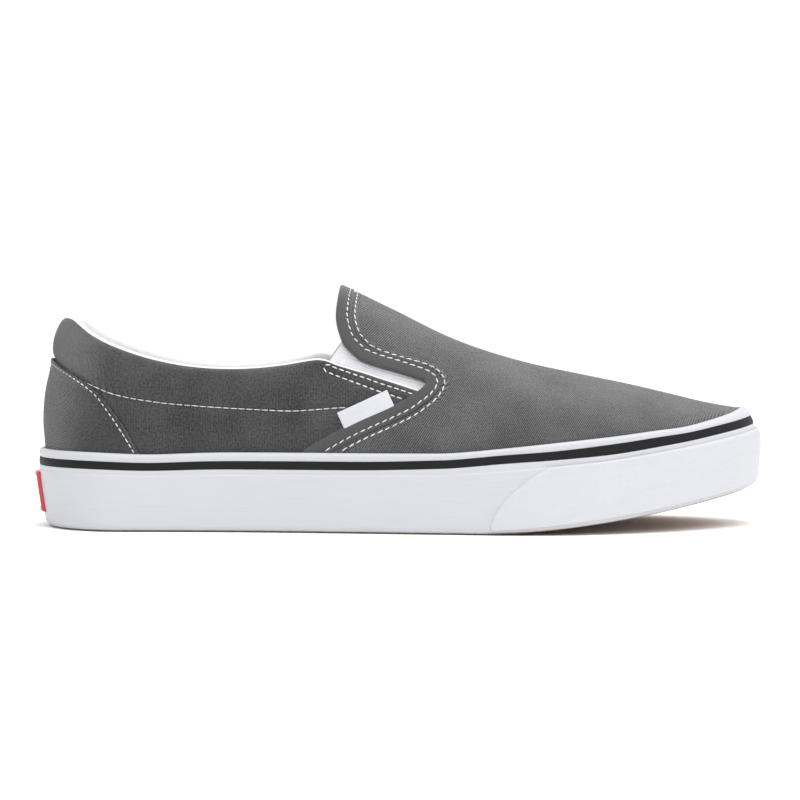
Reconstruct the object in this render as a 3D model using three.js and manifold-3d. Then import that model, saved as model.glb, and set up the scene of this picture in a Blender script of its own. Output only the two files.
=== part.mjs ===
// A right slip-on sneaker with a canvas upper, elastic gores and a wrapped rubber sole.
// Millimetres, +X to the toe, +Y to the inner side of the foot, +Z up from the floor.
// Every curved piece is cut from one last, a function of an angle round the foot and a height.

import * as THREE from 'three';
import { mergeVertices } from 'three/addons/utils/BufferGeometryUtils.js';
import Module from 'manifold-3d';

const wasm = await Module();
wasm.setup();

// Driving sizes of the last and the sole
const LENGTH = 292.5; // heel wall to toe wall of the foxing
const BALL_WIDTH = 103; // the sole at the ball of the foot
const VAMP_HEIGHT = 97; // floor to the top of the vamp
const COLLAR_HEIGHT = 84.2; // floor to the top of the heel collar
const TOE_SPRING = 16; // rise of the sole's underside at the toe
const HEEL_ROUND = 34; // reach of the round heel along the shoe
const TOE_ROUND = 44; // reach of the round toe along the shoe
const HEEL_SHIFT_REACH = 55; // how far forward the heel's back profile fades out
const TOE_LEAN = 4.5; // how far the toe wall leans back at its top
const TOE_TUCK = 1.5; // how far the toe wall tucks in at its foot
const TOE_LEAN_REACH = 60;
const TOE_CROWN = 2.5; // least rise of the upper over its own shoulder
const ANKLE_LEAN = 0.12; // share of the half width that the ankle walls close in by

// Driving sizes of the wrapped sidewall
const FOXING_HEIGHT = 31.8; // floor to the top of the bead
const FOXING_CLEAR = 0.6; // floor to the foot of the white wall
const HEEL_DIP = 0.9; // dip of the bead just in front of the heel
const RAND = 2.8; // outside of the wall to the outside of the upper
const GROOVE_DEPTH = 1.6; // groove that the dark stripe lies in
const STRIPE_RECESS = 0.5;
const BUMPER = 0.9; // thickness of the toe bumper
const PATCH = 1.2; // thickness of the heel patch
const PATCH_HALF_WIDTH = 11;
const PATCH_TOP = 22.3;
const PATCH_FOOT = 6.1;

// Driving sizes of the outsole and insole
const OUTSOLE = 6; // rubber under the upper's edge
const HEEL_BED = 13; // floor to the top of the outsole's heel
const BALL_BED = 8.8; // the same at the ball, above the toe spring
const INSOLE = 4.5;
const INSOLE_EDGE = 0.5; // bevel of the insole's edges
const INSOLE_DISH = 1.2;
const DISH_RIM = 11;
const TREAD_DEPTH = 1.6;
const TREAD_GROOVE = 3.2;
const TREAD_PITCH = 21;
const TREAD_RIM = 8; // plain rim round the tread
const TREAD_LANE = 22; // spacing of the lengthwise grooves

// Driving sizes of the upper
const WALL = 2.2; // canvas, backing and lining together
const OVERLAY = 0.8; // step of the vamp and the heel counter over the quarter
const BITE = 0.8; // how far an overlay's back lies in the quarter
const PAD = 6; // thickness of the padded collar
const UPPER_DROP = 0.5; // how much higher the quarter's foot stops than the vamp's
const GORE = 1.2;
const SEAM_LAP = 5; // how far the gore runs behind its seams
const TAB_THICKNESS = 0.6;
const TAB_WIDTH = 5.6;

const GAP = 0.3; // clearance between neighbouring pieces

// How finely the shapes are cut
const STEPS = 36; // stations on one side from heel to toe
const DOME_ROWS = 8; // rows from the bead to the ridge of the vamp
const PATCH_ROWS = 5; // rows up a gore or a tab
const SEAM_ROWS = 50; // rows up the vamp's back seam
const WALL_LEVELS = [0, 0.4, 0.64, 0.82, 1]; // shares from the upper's foot to the bead
const COUNTER_LEVELS = [0, 0.2, 0.4, 0.6, 0.8, 1];
const WELD = 1e-3; // points closer than this are one
const SLACK = 2; // how far a cutting body runs past what it cuts

function table(columns, rows) {
  // Each column becomes a smooth curve through its rows, read against the first column.
  const xs = rows.map((row) => row[0]);
  const curves = {};
  columns.slice(1).forEach((name, k) => {
    curves[name] = smoothCurve(xs, rows.map((row) => row[k + 1]));
  });
  return curves;
}

function smoothCurve(xs, ys) {
  const last = xs.length - 1;
  const chord = (i) => (ys[i + 1] - ys[i]) / (xs[i + 1] - xs[i]);
  const slope = xs.map((_, i) => {
    if (i === 0) return chord(0);
    if (i === last) return chord(last - 1);
    const before = xs[i] - xs[i - 1];
    const after = xs[i + 1] - xs[i];
    return (chord(i - 1) * after + chord(i) * before) / (before + after);
  });
  return (at) => {
    const x = THREE.MathUtils.clamp(at, xs[0], xs[last]);
    let i = 0;
    while (i < last - 1 && x > xs[i + 1]) i += 1;
    const h = xs[i + 1] - xs[i];
    const t = (x - xs[i]) / h;
    const rest = 1 - t;
    return rest * rest * (1 + 2 * t) * ys[i] + t * rest * rest * h * slope[i]
      + t * t * (3 - 2 * t) * ys[i + 1] - t * t * rest * h * slope[i + 1];
  };
}

// Sections along the shoe: half widths and centre shifts are shares of the ball width,
// the ridge is a share of the vamp height, fullness is the exponent of the section's curve.
const LAST = table(['along', 'half', 'centre', 'ridge', 'ridgeCentre', 'fullness'], [
  [0.00, 0.3475, 0.000, 1.155, 0.000, 4.0],
  [0.07, 0.3485, -0.002, 1.155, 0.000, 4.0],
  [0.14, 0.3485, -0.005, 1.155, 0.000, 4.0],
  [0.21, 0.3495, -0.011, 1.150, 0.000, 3.8],
  [0.28, 0.3505, -0.021, 1.125, 0.000, 3.5],
  [0.35, 0.3555, -0.039, 1.075, 0.000, 3.0],
  [0.42, 0.3690, -0.055, 1.000, -0.004, 2.4],
  [0.49, 0.3940, -0.062, 0.903, -0.012, 2.1],
  [0.56, 0.4310, -0.059, 0.799, -0.020, 2.0],
  [0.63, 0.4700, -0.048, 0.719, -0.020, 2.0],
  [0.70, 0.4980, -0.028, 0.664, -0.012, 2.0],
  [0.76, 0.4970, -0.002, 0.625, 0.008, 2.0],
  [0.82, 0.4650, 0.024, 0.587, 0.030, 2.05],
  [0.88, 0.4130, 0.048, 0.549, 0.054, 2.1],
  [0.94, 0.3700, 0.066, 0.511, 0.070, 2.2],
  [1.00, 0.3550, 0.077, 0.480, 0.077, 2.3],
]);

// Back profile of the heel: height as a share of the collar height, forward shift in mm
const HEEL_BACK = table(['height', 'forward'], [
  [0.00, 3.3], [0.12, 1.6], [0.27, 0], [0.37, 0], [0.51, -0.8], [0.60, -0.4],
  [0.67, 0.4], [0.75, 2.0], [0.86, 3.1], [0.94, 4.1], [1.00, 5.2], [1.33, 12],
]);

// Side view of the seams: along is a share of the length, height of the collar height
const COLLAR_LINE = table(['along', 'height'], [
  [0.009, 1.000], [0.026, 0.996], [0.038, 0.974], [0.060, 0.930], [0.086, 0.890],
  [0.116, 0.853], [0.146, 0.822], [0.201, 0.783], [0.270, 0.768], [0.337, 0.789],
  [0.392, 0.815], [0.407, 0.821], [0.436, 0.784], [0.474, 0.735], [0.523, 0.676],
  [0.557, 0.640], [0.597, 0.610],
]);
const PAD_STITCH = table(['along', 'height'], [
  [0.009, 0.790], [0.040, 0.750], [0.077, 0.698], [0.105, 0.660], [0.163, 0.615],
  [0.227, 0.593], [0.310, 0.577], [0.351, 0.572], [0.423, 0.589], [0.597, 0.550],
]);
const COUNTER_TOP = table(['along', 'height'], [
  [0.009, 0.830], [0.024, 0.797], [0.054, 0.747], [0.075, 0.708], [0.096, 0.648],
  [0.109, 0.589], [0.124, 0.517], [0.135, 0.450], [0.146, 0.379], [0.154, 0.310],
]);

// Side view of the vamp's back seam: height as a share of the vamp height, along of the length
const VAMP_EDGE = table(['height', 'along'], [
  [0.00, 0.363], [0.28, 0.364], [0.337, 0.371], [0.393, 0.400], [0.456, 0.439], [0.519, 0.485],
  [0.549, 0.507], [0.575, 0.520], [0.600, 0.531], [0.615, 0.535], [0.626, 0.532],
  [0.638, 0.520], [0.654, 0.503], [0.690, 0.462], [0.707, 0.448], [0.738, 0.435],
  [0.774, 0.424], [0.822, 0.417], [0.877, 0.413], [0.962, 0.415], [1.060, 0.422],
]);
const GORE_MOUTH = 0.781; // height on the vamp's seam where the gore's free edge ends
const GORE_CORNER = 0.615; // height where the two seams meet at the gore's tip
const QUARTER_CORNER = 0.407; // along, where the collar turns down into the gore
const GORE_TIP = 0.55; // along, how far the gore runs under the vamp
const TAB_FOOT = 0.433;
const TAB_HEAD = 0.527;
const QUARTER_FRONT = 0.58; // where the quarter ends under the vamp
const VAMP_REAR = 0.345; // where the vamp's form starts behind its seam
const COUNTER_FRONT = 0.15;
const PAD_FADE = { from: 0.33, to: 0.4 };
const ANKLE_FADE = { from: 0.25, to: 0.45 };
const STEP_REAR = { from: 0.157, to: 0.187 }; // the quarter's step behind the counter's edge
const STEP_FRONT = { from: 0.318, to: 0.358 };

// Sole: where the underside and the bead start to rise, as shares of the length
const SPRING = { from: 0.61, power: 1.5 };
const BEAD_RISE = { from: 0.56, power: 1.4 };
const BEAD_DIP = { centre: 0.155, reach: 0.062 };
const BED_FADE = { from: 0.2, to: 0.6 }; // from the height of the heel's bed to the ball's

// Section of the quarter above the bead, over the collar roll and down the inside again.
// The side runs from the bead to the pad's stitch line, the pad from there to the collar's
// top; up is the share of that zone, deep the share of the wall or of the pad.
const QUARTER_SECTION = [
  { zone: 'side', up: 0.45, deep: 0.00 },
  { zone: 'side', up: 1.00, deep: 0.10 },
  { zone: 'pad', up: 0.24, deep: -0.05 },
  { zone: 'pad', up: 0.58, deep: -0.08 },
  { zone: 'pad', up: 0.86, deep: 0.03 },
  { zone: 'pad', up: 0.97, deep: 0.20 },
  { zone: 'pad', up: 1.00, deep: 0.48 },
  { zone: 'pad', up: 0.96, deep: 0.78 },
  { zone: 'pad', up: 0.84, deep: 0.96 },
  { zone: 'pad', up: 0.50, deep: 1.00 },
  { zone: 'pad', up: 0.12, deep: 0.75 },
  { zone: 'side', up: 0.70, deep: 1.12 },
  { zone: 'side', up: 0.45, deep: 1.00 },
];

// Outer section of the white wall: up is the share of its height, inset the step inwards in mm
const WALL_SECTION = [
  { up: 0.000, inset: 1.6 },
  { up: 0.030, inset: 0.3 },
  { up: 0.360, inset: 0 },
  { up: 0.715, inset: 0 },
  { up: 0.735, inset: 0.8 },
  { up: 0.785, inset: 0.8 },
];
const STRIPE_FOOT = 0.785;
const STRIPE_HEAD = 0.875;
const BEAD_SECTION = [
  { up: 0.875, inset: 0.8 },
  { up: 0.940, inset: 0.5 },
  { up: 1.000, inset: 1.4 },
];
const BUMPER_REAR = 0.622; // along, where the toe bumper starts
const BUMPER_FULL = 0.7; // along, where it reaches its full height
const BUMPER_FOOT = 0.04;
const BUMPER_HEAD = 0.73;
const BUMPER_LEVELS = [0, 0.06, 0.5, 0.94, 1];

function fade(value) {
  return THREE.MathUtils.smoothstep(value, 0, 1);
}

function fadeBetween(along, { from, to }) {
  return fade((along - from) / (to - from));
}

function rise(x, { from, power }) {
  const reach = Math.max(0, x / LENGTH - from) / (1 - from);
  return TOE_SPRING * reach ** power;
}

function ground(x) {
  return rise(x, SPRING);
}

function beadTop(x) {
  const dip = Math.exp(-(((x / LENGTH - BEAD_DIP.centre) / BEAD_DIP.reach) ** 2));
  return FOXING_HEIGHT + rise(x, BEAD_RISE) - HEEL_DIP * dip;
}

function wallHeight(x, up) {
  // Height at a share of the white wall, from its foot to the top of the bead
  const foot = ground(x) + FOXING_CLEAR;
  return foot + (beadTop(x) - foot) * up;
}

function endShift(x, z) {
  // The heel's back leans by its own profile, the toe leans back above and tucks in below.
  const heel = HEEL_BACK.forward(z / COLLAR_HEIGHT) * (1 - fade(x / HEEL_SHIFT_REACH));
  const up = THREE.MathUtils.clamp((z - ground(x)) / (FOXING_HEIGHT - FOXING_CLEAR), 0, 1.1);
  const above = Math.max(0, 2 * up - 1);
  const below = Math.max(0, 1 - 2 * up);
  const atToe = fade((x - LENGTH + TOE_LEAN_REACH) / TOE_LEAN_REACH);
  return heel - (TOE_LEAN * above ** 2 + TOE_TUCK * below) * atToe;
}

function outline(angle, inset) {
  // Half turn from toe (0) to heel (PI), negative on the outer side; inset from the sole's edge.
  // The half width closes to nothing at both ends as quarter ellipses.
  const x = inset + (LENGTH - 2 * inset) * (1 + Math.cos(angle)) / 2;
  const heel = THREE.MathUtils.clamp((x - inset) / (HEEL_ROUND - inset), 0, 1);
  const toe = THREE.MathUtils.clamp((LENGTH - inset - x) / (TOE_ROUND - inset), 0, 1);
  const round = Math.sqrt(1 - (1 - heel) ** 2) * Math.sqrt(1 - (1 - toe) ** 2);
  const atEnd = Math.abs(Math.sin(angle)) < 1e-9;
  const half = atEnd ? 0 : (LAST.half(x / LENGTH) * BALL_WIDTH - inset) * round;
  return { x, half: half * Math.sign(Math.sin(angle)) };
}

function ridgeHeight(x, inset) {
  return LAST.ridge(x / LENGTH) * VAMP_HEIGHT - inset;
}

function shoulder(x, inset) {
  // Height where the upper's straight wall ends, at the bead or just under a low toe
  return Math.min(beadTop(x), ridgeHeight(x, inset) - TOE_CROWN);
}

function formPoint(angle, z, inset) {
  // The last: a wall that stands straight up to the shoulder, then closes to the ridge as a
  // superellipse. The inset is measured inwards from the upper's outermost form.
  const { x, half } = outline(angle, RAND + inset);
  const foot = shoulder(x, inset);
  const up = THREE.MathUtils.clamp((z - foot) / (ridgeHeight(x, inset) - foot), 0, 1);
  const full = LAST.fullness(x / LENGTH);
  const along = x / LENGTH;
  const ankle = 1 - fadeBetween(along, ANKLE_FADE);
  const width = half * (1 - up ** full) ** (1 / full) * (1 - ANKLE_LEAN * ankle * up);
  const centre = LAST.centre(along) * (1 - up) + LAST.ridgeCentre(along) * up;
  return new THREE.Vector3(x + endShift(x, z), centre * BALL_WIDTH + width, z);
}

function solePoint(angle, z, inset) {
  return formPoint(angle, z, inset - RAND);
}

function angleAt(along, inset) {
  // Angle whose station lies at a share of the length
  const share = (along * LENGTH - inset) / (LENGTH - 2 * inset);
  return Math.acos(THREE.MathUtils.clamp(2 * share - 1, -1, 1));
}

function anglesBetween(from, to) {
  // Both ends and the stations between them, which all pieces share
  const step = Math.PI / STEPS;
  const angles = [from];
  for (let k = Math.ceil(from / step); k * step < to; k += 1) {
    if (Math.min(k * step - from, to - k * step) > step / 4) angles.push(k * step);
  }
  return [...angles, to];
}

function flatAxes(loop) {
  // Two axes in the plane of a loop, for its end cap
  const normal = new THREE.Vector3();
  loop.forEach((p, i) => {
    normal.add(new THREE.Vector3().crossVectors(p, loop[(i + 1) % loop.length]));
  });
  normal.normalize();
  const side = new THREE.Vector3(0, 0, 1).cross(normal).normalize();
  return [side, new THREE.Vector3().crossVectors(normal, side)];
}

function capFaces(loop) {
  const [side, up] = flatAxes(loop);
  const flat = loop.map((p) => new THREE.Vector2(p.dot(side), p.dot(up)));
  return THREE.ShapeUtils.triangulateShape(flat, []);
}

function loft(loops, { ring = false, caps = ['first', 'last'] } = {}) {
  // A closed skin through equal loops; a ring joins its last loop to its first.
  const points = loops.flat();
  const size = loops[0].length;
  const faces = [];
  const spans = ring ? loops.length : loops.length - 1;
  for (let i = 0; i < spans; i += 1) {
    const here = i * size;
    const next = ((i + 1) % loops.length) * size;
    for (let k = 0; k < size; k += 1) {
      const after = (k + 1) % size;
      faces.push([here + k, here + after, next + after], [here + k, next + after, next + k]);
    }
  }
  if (!ring && caps.includes('first')) {
    capFaces(loops[0]).forEach(([a, b, c]) => faces.push([c, b, a]));
  }
  if (!ring && caps.includes('last')) {
    const end = (loops.length - 1) * size;
    capFaces(loops.at(-1)).forEach(([a, b, c]) => faces.push([end + a, end + b, end + c]));
  }
  return closedGeometry(points, faces);
}

function closedGeometry(points, faces) {
  // Merges equal points, drops faces that shrank to a line, and turns the skin outwards.
  const geometry = new THREE.BufferGeometry();
  geometry.setAttribute('position', new THREE.Float32BufferAttribute(points.flatMap((p) => p.toArray()), 3));
  geometry.setIndex(faces.flat());
  const merged = mergeVertices(geometry, WELD);
  const index = Array.from(merged.index.array);
  const kept = [];
  for (let i = 0; i < index.length; i += 3) {
    const [a, b, c] = index.slice(i, i + 3);
    if (a !== b && b !== c && c !== a) kept.push(a, b, c);
  }
  merged.setIndex(signedVolume(merged, kept) < 0 ? kept.reverse() : kept);
  return merged;
}

function signedVolume(geometry, index) {
  const at = (i) => new THREE.Vector3().fromBufferAttribute(geometry.attributes.position, i);
  let sum = 0;
  for (let i = 0; i < index.length; i += 3) {
    sum += at(index[i]).dot(at(index[i + 1]).cross(at(index[i + 2])));
  }
  return sum;
}

function solid(geometry) {
  const bare = geometry.clone();
  Object.keys(bare.attributes).filter((name) => name !== 'position')
    .forEach((name) => bare.deleteAttribute(name));
  const merged = mergeVertices(bare, WELD);
  const mesh = new wasm.Mesh({
    numProp: 3,
    vertProperties: new Float32Array(merged.attributes.position.array),
    triVerts: new Uint32Array(merged.index.array),
  });
  return new wasm.Manifold(mesh);
}

function sideCut(corners) {
  // A slab right through the shoe whose side view is the given outline of [x, z] corners
  const shape = new THREE.Shape(corners.map(([x, z]) => new THREE.Vector2(x, z)));
  const slab = new THREE.ExtrudeGeometry(shape, { depth: 2 * BALL_WIDTH, bevelEnabled: false });
  slab.rotateX(Math.PI / 2);
  slab.translate(0, BALL_WIDTH, 0);
  return solid(slab);
}

function geometryOf(manifold) {
  const mesh = manifold.getMesh();
  const geometry = new THREE.BufferGeometry();
  geometry.setAttribute('position', new THREE.BufferAttribute(new Float32Array(mesh.vertProperties), 3));
  geometry.setIndex(Array.from(mesh.triVerts));
  return geometry;
}

function collarHeight(x) {
  return COLLAR_LINE.height(x / LENGTH) * COLLAR_HEIGHT;
}

function padStitchHeight(x) {
  return PAD_STITCH.height(x / LENGTH) * COLLAR_HEIGHT;
}

function counterHeight(x) {
  return COUNTER_TOP.height(x / LENGTH) * COLLAR_HEIGHT;
}

function vampEdge(z) {
  return VAMP_EDGE.along(z / VAMP_HEIGHT) * LENGTH;
}

function upperFoot(x) {
  return ground(x) + OUTSOLE + GAP;
}

function wallHeights(x, foot) {
  return WALL_LEVELS.map((share) => foot + (shoulder(x, 0) - GAP - foot) * share);
}

function quarterLoop(angle) {
  const { x } = outline(angle, RAND);
  const stitch = padStitchHeight(x);
  const pad = PAD + (WALL - PAD) * fadeBetween(x / LENGTH, PAD_FADE);
  const zones = {
    side: { low: beadTop(x), high: stitch, thick: WALL },
    pad: { low: stitch, high: collarHeight(x), thick: pad },
  };
  const wall = wallHeights(x, upperFoot(x) + UPPER_DROP);
  const outer = wall.map((z) => formPoint(angle, z, OVERLAY));
  const inner = wall.map((z) => formPoint(angle, z, OVERLAY + WALL)).reverse();
  const over = QUARTER_SECTION.map(({ zone, up, deep }) => {
    const { low, high, thick } = zones[zone];
    return formPoint(angle, low + (high - low) * up, OVERLAY + deep * thick);
  });
  return [...outer, ...over, ...inner];
}

function counterLoop(angle) {
  const { x } = outline(angle, RAND);
  const foot = upperFoot(x) + 2 * UPPER_DROP;
  const top = counterHeight(x);
  const heights = COUNTER_LEVELS.map((share) => foot + (top - OVERLAY - foot) * share);
  const outer = heights.map((z) => formPoint(angle, z, 0));
  const edge = [formPoint(angle, top, OVERLAY / 2), formPoint(angle, top, OVERLAY + BITE)];
  const inner = [heights[3], foot].map((z) => formPoint(angle, z, OVERLAY + BITE));
  return [...outer, ...edge, ...inner];
}

function domeLoop(angle, inset, drop) {
  // One station of the vamp: up the outer side, over the ridge and down the inner side
  const { x } = outline(angle, RAND + inset);
  const start = shoulder(x, inset);
  const top = ridgeHeight(x, inset);
  const power = 2 / LAST.fullness(x / LENGTH);
  const heights = wallHeights(x, upperFoot(x) - drop);
  for (let i = 1; i <= DOME_ROWS; i += 1) {
    heights.push(start + (top - start) * Math.sin((i / DOME_ROWS) * Math.PI / 2) ** power);
  }
  const side = (sign) => heights.map((z) => formPoint(sign * angle, z, inset));
  return [...side(-1), ...side(1).reverse().slice(1)];
}

function dome(inset, rear, drop) {
  // The first loop shrinks to a line at the toe's tip, so only the rear end has a cap.
  const loops = anglesBetween(0, angleAt(rear, RAND + inset)).map((a) => domeLoop(a, inset, drop));
  return solid(loft(loops, { caps: ['last'] }));
}

function seamCorners() {
  // The vamp's back seam as [x, z] corners from below the sole to above the ridge
  const corners = [];
  const top = VAMP_HEIGHT + 2 * SLACK;
  for (let i = 0; i <= SEAM_ROWS; i += 1) {
    const z = (top * i) / SEAM_ROWS;
    corners.push([vampEdge(z), z]);
  }
  return corners;
}

function upper() {
  const quarter = loft(bothWays(angleAt(QUARTER_FRONT, RAND)).map(quarterLoop));
  const counter = loft(bothWays(angleAt(COUNTER_FRONT, RAND)).map(counterLoop));
  const hollow = dome(WALL, VAMP_REAR - SLACK / LENGTH, OUTSOLE);
  const shell = dome(0, VAMP_REAR, 0).subtract(hollow);
  const seam = seamCorners();
  const beyond = LENGTH + SLACK;
  const front = sideCut([...seam, [beyond, seam.at(-1)[1]], [beyond, 0]]);
  return geometryOf(shell.intersect(front).add(solid(quarter)).add(solid(counter)));
}

function bothWays(front) {
  // Angles from the outer side's front, back round the heel, to the inner side's front
  const back = anglesBetween(front, Math.PI);
  return [...back.map((a) => -a), ...back.slice(0, -1).reverse()];
}

function sidePatch(side, inset, thickness, corners) {
  // A thin slab that follows the last, cut to a side view of [x, z] corners
  const xs = corners.map((corner) => corner[0]);
  const zs = corners.map((corner) => corner[1]);
  const rear = angleAt((Math.min(...xs) - SLACK) / LENGTH, RAND);
  const front = angleAt((Math.max(...xs) + SLACK) / LENGTH, RAND);
  const low = Math.min(...zs) - SLACK;
  const row = (Math.max(...zs) + SLACK - low) / PATCH_ROWS;
  const heights = Array.from({ length: PATCH_ROWS + 1 }, (_, i) => low + row * i);
  const loops = anglesBetween(front, rear).map((angle) => {
    const outer = heights.map((z) => formPoint(side * angle, z, inset));
    const inner = heights.map((z) => formPoint(side * angle, z, inset + thickness));
    return [...outer, ...inner.reverse()];
  });
  return geometryOf(solid(loft(loops)).intersect(sideCut(corners)));
}

function goreCorners() {
  // Behind the quarter's edge below, behind the vamp's seam above, free between the two
  const below = [];
  const steps = 10;
  for (let i = 0; i <= steps; i += 1) {
    const x = (QUARTER_CORNER + ((GORE_TIP - QUARTER_CORNER) * i) / steps) * LENGTH;
    below.push([x, collarHeight(x) - SEAM_LAP]);
  }
  const above = [];
  for (let i = 0; i <= steps; i += 1) {
    const z = (GORE_CORNER + ((GORE_MOUTH - GORE_CORNER) * i) / steps) * VAMP_HEIGHT;
    above.push([vampEdge(z) + SEAM_LAP, z + SEAM_LAP / 2]);
  }
  const mouth = GORE_MOUTH * VAMP_HEIGHT;
  const corner = QUARTER_CORNER * LENGTH;
  return [...below, ...above, [vampEdge(mouth), mouth], [corner, collarHeight(corner)]];
}

function gore(side) {
  return sidePatch(side, OVERLAY + WALL + 2 * GAP, GORE, goreCorners());
}

function sideTab() {
  // A small folded label of bare cloth, held under the vamp's slanted seam
  const foot = new THREE.Vector2(vampEdge(TAB_FOOT * VAMP_HEIGHT), TAB_FOOT * VAMP_HEIGHT);
  const head = new THREE.Vector2(vampEdge(TAB_HEAD * VAMP_HEIGHT), TAB_HEAD * VAMP_HEIGHT);
  const along = head.clone().sub(foot).normalize();
  const out = new THREE.Vector2(-along.y, along.x);
  const at = (from, away) => from.clone().addScaledVector(out, away).toArray();
  const clear = 3 * GAP;
  const corners = [at(foot, clear), at(head, clear), at(head, TAB_WIDTH), at(foot, TAB_WIDTH)];
  return sidePatch(-1, OVERLAY - 2 * GAP - TAB_THICKNESS, TAB_THICKNESS, corners);
}

function quarterStep(x) {
  // How far the quarter lies behind the overlays where it goes down into the sole
  return OVERLAY * fadeBetween(x / LENGTH, STEP_REAR) * (1 - fadeBetween(x / LENGTH, STEP_FRONT));
}

function foxingLoop(angle) {
  const { x } = outline(angle, 0);
  const at = ({ up, inset }) => solePoint(angle, wallHeight(x, up), inset);
  const groove = [STRIPE_FOOT, STRIPE_HEAD].map((up) => at({ up, inset: GROOVE_DEPTH }));
  const inside = outline(angle, RAND).x;
  const lining = quarterStep(inside) - GAP;
  const levels = [beadTop(inside), ...wallHeights(inside, upperFoot(inside)).reverse()];
  const inner = levels.map((z, i) => formPoint(angle, z, i === 0 ? lining - 2 * GAP : lining));
  const foot = [OUTSOLE, FOXING_CLEAR].map((z) => solePoint(angle, ground(x) + z, RAND - GAP));
  return [...WALL_SECTION.map(at), ...groove, ...BEAD_SECTION.map(at), ...inner, ...foot];
}

function fullTurn() {
  return anglesBetween(-Math.PI, Math.PI).slice(0, -1);
}

function foxing() {
  return loft(fullTurn().map(foxingLoop), { ring: true });
}

function stripe() {
  const edge = GAP / (FOXING_HEIGHT - FOXING_CLEAR);
  const corners = [
    { up: STRIPE_FOOT + edge, inset: GROOVE_DEPTH - GAP },
    { up: STRIPE_FOOT + edge, inset: STRIPE_RECESS },
    { up: STRIPE_HEAD - edge, inset: STRIPE_RECESS },
    { up: STRIPE_HEAD - edge, inset: GROOVE_DEPTH - GAP },
  ];
  const loops = fullTurn().map((angle) => {
    const { x } = outline(angle, 0);
    return corners.map(({ up, inset }) => solePoint(angle, wallHeight(x, up), inset));
  });
  return loft(loops, { ring: true });
}

function toeBumper() {
  // A second layer of rubber round the toe, with a swept back edge; one more station halfway
  // along the first and the last span keeps the sweep round.
  const rear = angleAt(BUMPER_REAR, 0);
  const [first, second, ...others] = anglesBetween(-rear, rear);
  const sweep = (first + second) / 2;
  const stations = [first, sweep, second, ...others.slice(0, -1), -sweep, rear];
  const loops = stations.map((angle) => {
    const { x } = outline(angle, 0);
    const reach = THREE.MathUtils.clamp((x / LENGTH - BUMPER_REAR) / (BUMPER_FULL - BUMPER_REAR), 0.01, 1);
    const head = BUMPER_FOOT + (BUMPER_HEAD - BUMPER_FOOT) * Math.sqrt(reach);
    const heights = BUMPER_LEVELS.map((share) => BUMPER_FOOT + (head - BUMPER_FOOT) * share);
    const skin = heights.map((up, i) => {
      const rim = i === 0 || i === heights.length - 1 ? BUMPER / 2 : 0;
      return solePoint(angle, wallHeight(x, up), rim - GAP - BUMPER);
    });
    const back = heights.map((up) => solePoint(angle, wallHeight(x, up), -GAP));
    return [...skin, ...back.reverse()];
  });
  return loft(loops);
}

function heelPatch() {
  // The turn from the middle of the heel whose half width is the patch's own
  const turn = (PATCH_HALF_WIDTH / (LAST.half(0) * BALL_WIDTH)) * Math.sqrt((2 * HEEL_ROUND) / LENGTH);
  const steps = 10;
  const loops = Array.from({ length: steps + 1 }, (_, i) => {
    const angle = Math.PI + turn * ((2 * i) / steps - 1);
    const heights = [PATCH_FOOT, (PATCH_FOOT + PATCH_TOP) / 2, PATCH_TOP];
    const outer = heights.map((z) => solePoint(angle, z, -GAP - PATCH));
    const inner = heights.map((z) => solePoint(angle, z, -GAP));
    return [...outer, ...inner.reverse()];
  });
  return loft(loops);
}

function bedHeight(x) {
  return HEEL_BED + (BALL_BED - HEEL_BED) * fadeBetween(x / LENGTH, BED_FADE) + ground(x);
}

function plate(levels) {
  // A slab between stations from toe to heel; each level has an inset and a height over x.
  const loops = anglesBetween(0, Math.PI).map((angle) => {
    const side = (sign) => levels.map(({ inset, height }) => {
      const { x } = outline(sign * angle, inset);
      return solePoint(sign * angle, height(x), inset);
    });
    return [...side(-1), ...side(1).reverse()];
  });
  return loft(loops, { caps: [] });
}

function insideUpper() {
  return RAND + OVERLAY + WALL + GAP;
}

function treadGrooves() {
  // Straight grooves across, and one each side of the middle that follow the foot's curve
  const cuts = [];
  for (let x = TREAD_PITCH; x < LENGTH - TREAD_RIM; x += TREAD_PITCH) {
    const bar = new THREE.BoxGeometry(TREAD_GROOVE, 2 * BALL_WIDTH, 2 * TREAD_DEPTH);
    const slope = Math.atan2(ground(x + 1) - ground(x - 1), 2);
    bar.rotateY(-slope);
    bar.translate(x, 0, ground(x));
    cuts.push(solid(bar));
  }
  [-0.5, 0.5].forEach((lane) => {
    const loops = anglesBetween(Math.PI / STEPS, Math.PI * (1 - 1 / STEPS)).map((angle) => {
      const { x } = outline(angle, 0);
      const y = LAST.centre(x / LENGTH) * BALL_WIDTH + lane * TREAD_LANE;
      const left = y - TREAD_GROOVE / 2;
      const right = y + TREAD_GROOVE / 2;
      const low = ground(x) - SLACK;
      const high = ground(x) + TREAD_DEPTH;
      return [[left, low], [right, low], [right, high], [left, high]]
        .map(([py, pz]) => new THREE.Vector3(x, py, pz));
    });
    cuts.push(solid(loft(loops)));
  });
  const field = plate([
    { inset: RAND + TREAD_RIM, height: (x) => ground(x) - SLACK },
    { inset: RAND + TREAD_RIM, height: (x) => ground(x) + TREAD_DEPTH + SLACK },
  ]);
  return wasm.Manifold.union(cuts).intersect(solid(field));
}

function outsole() {
  const body = plate([
    { inset: RAND, height: (x) => ground(x) },
    { inset: RAND, height: (x) => ground(x) + OUTSOLE },
    { inset: insideUpper(), height: (x) => ground(x) + OUTSOLE },
    { inset: insideUpper(), height: bedHeight },
  ]);
  return geometryOf(solid(body).subtract(treadGrooves()));
}

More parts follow.
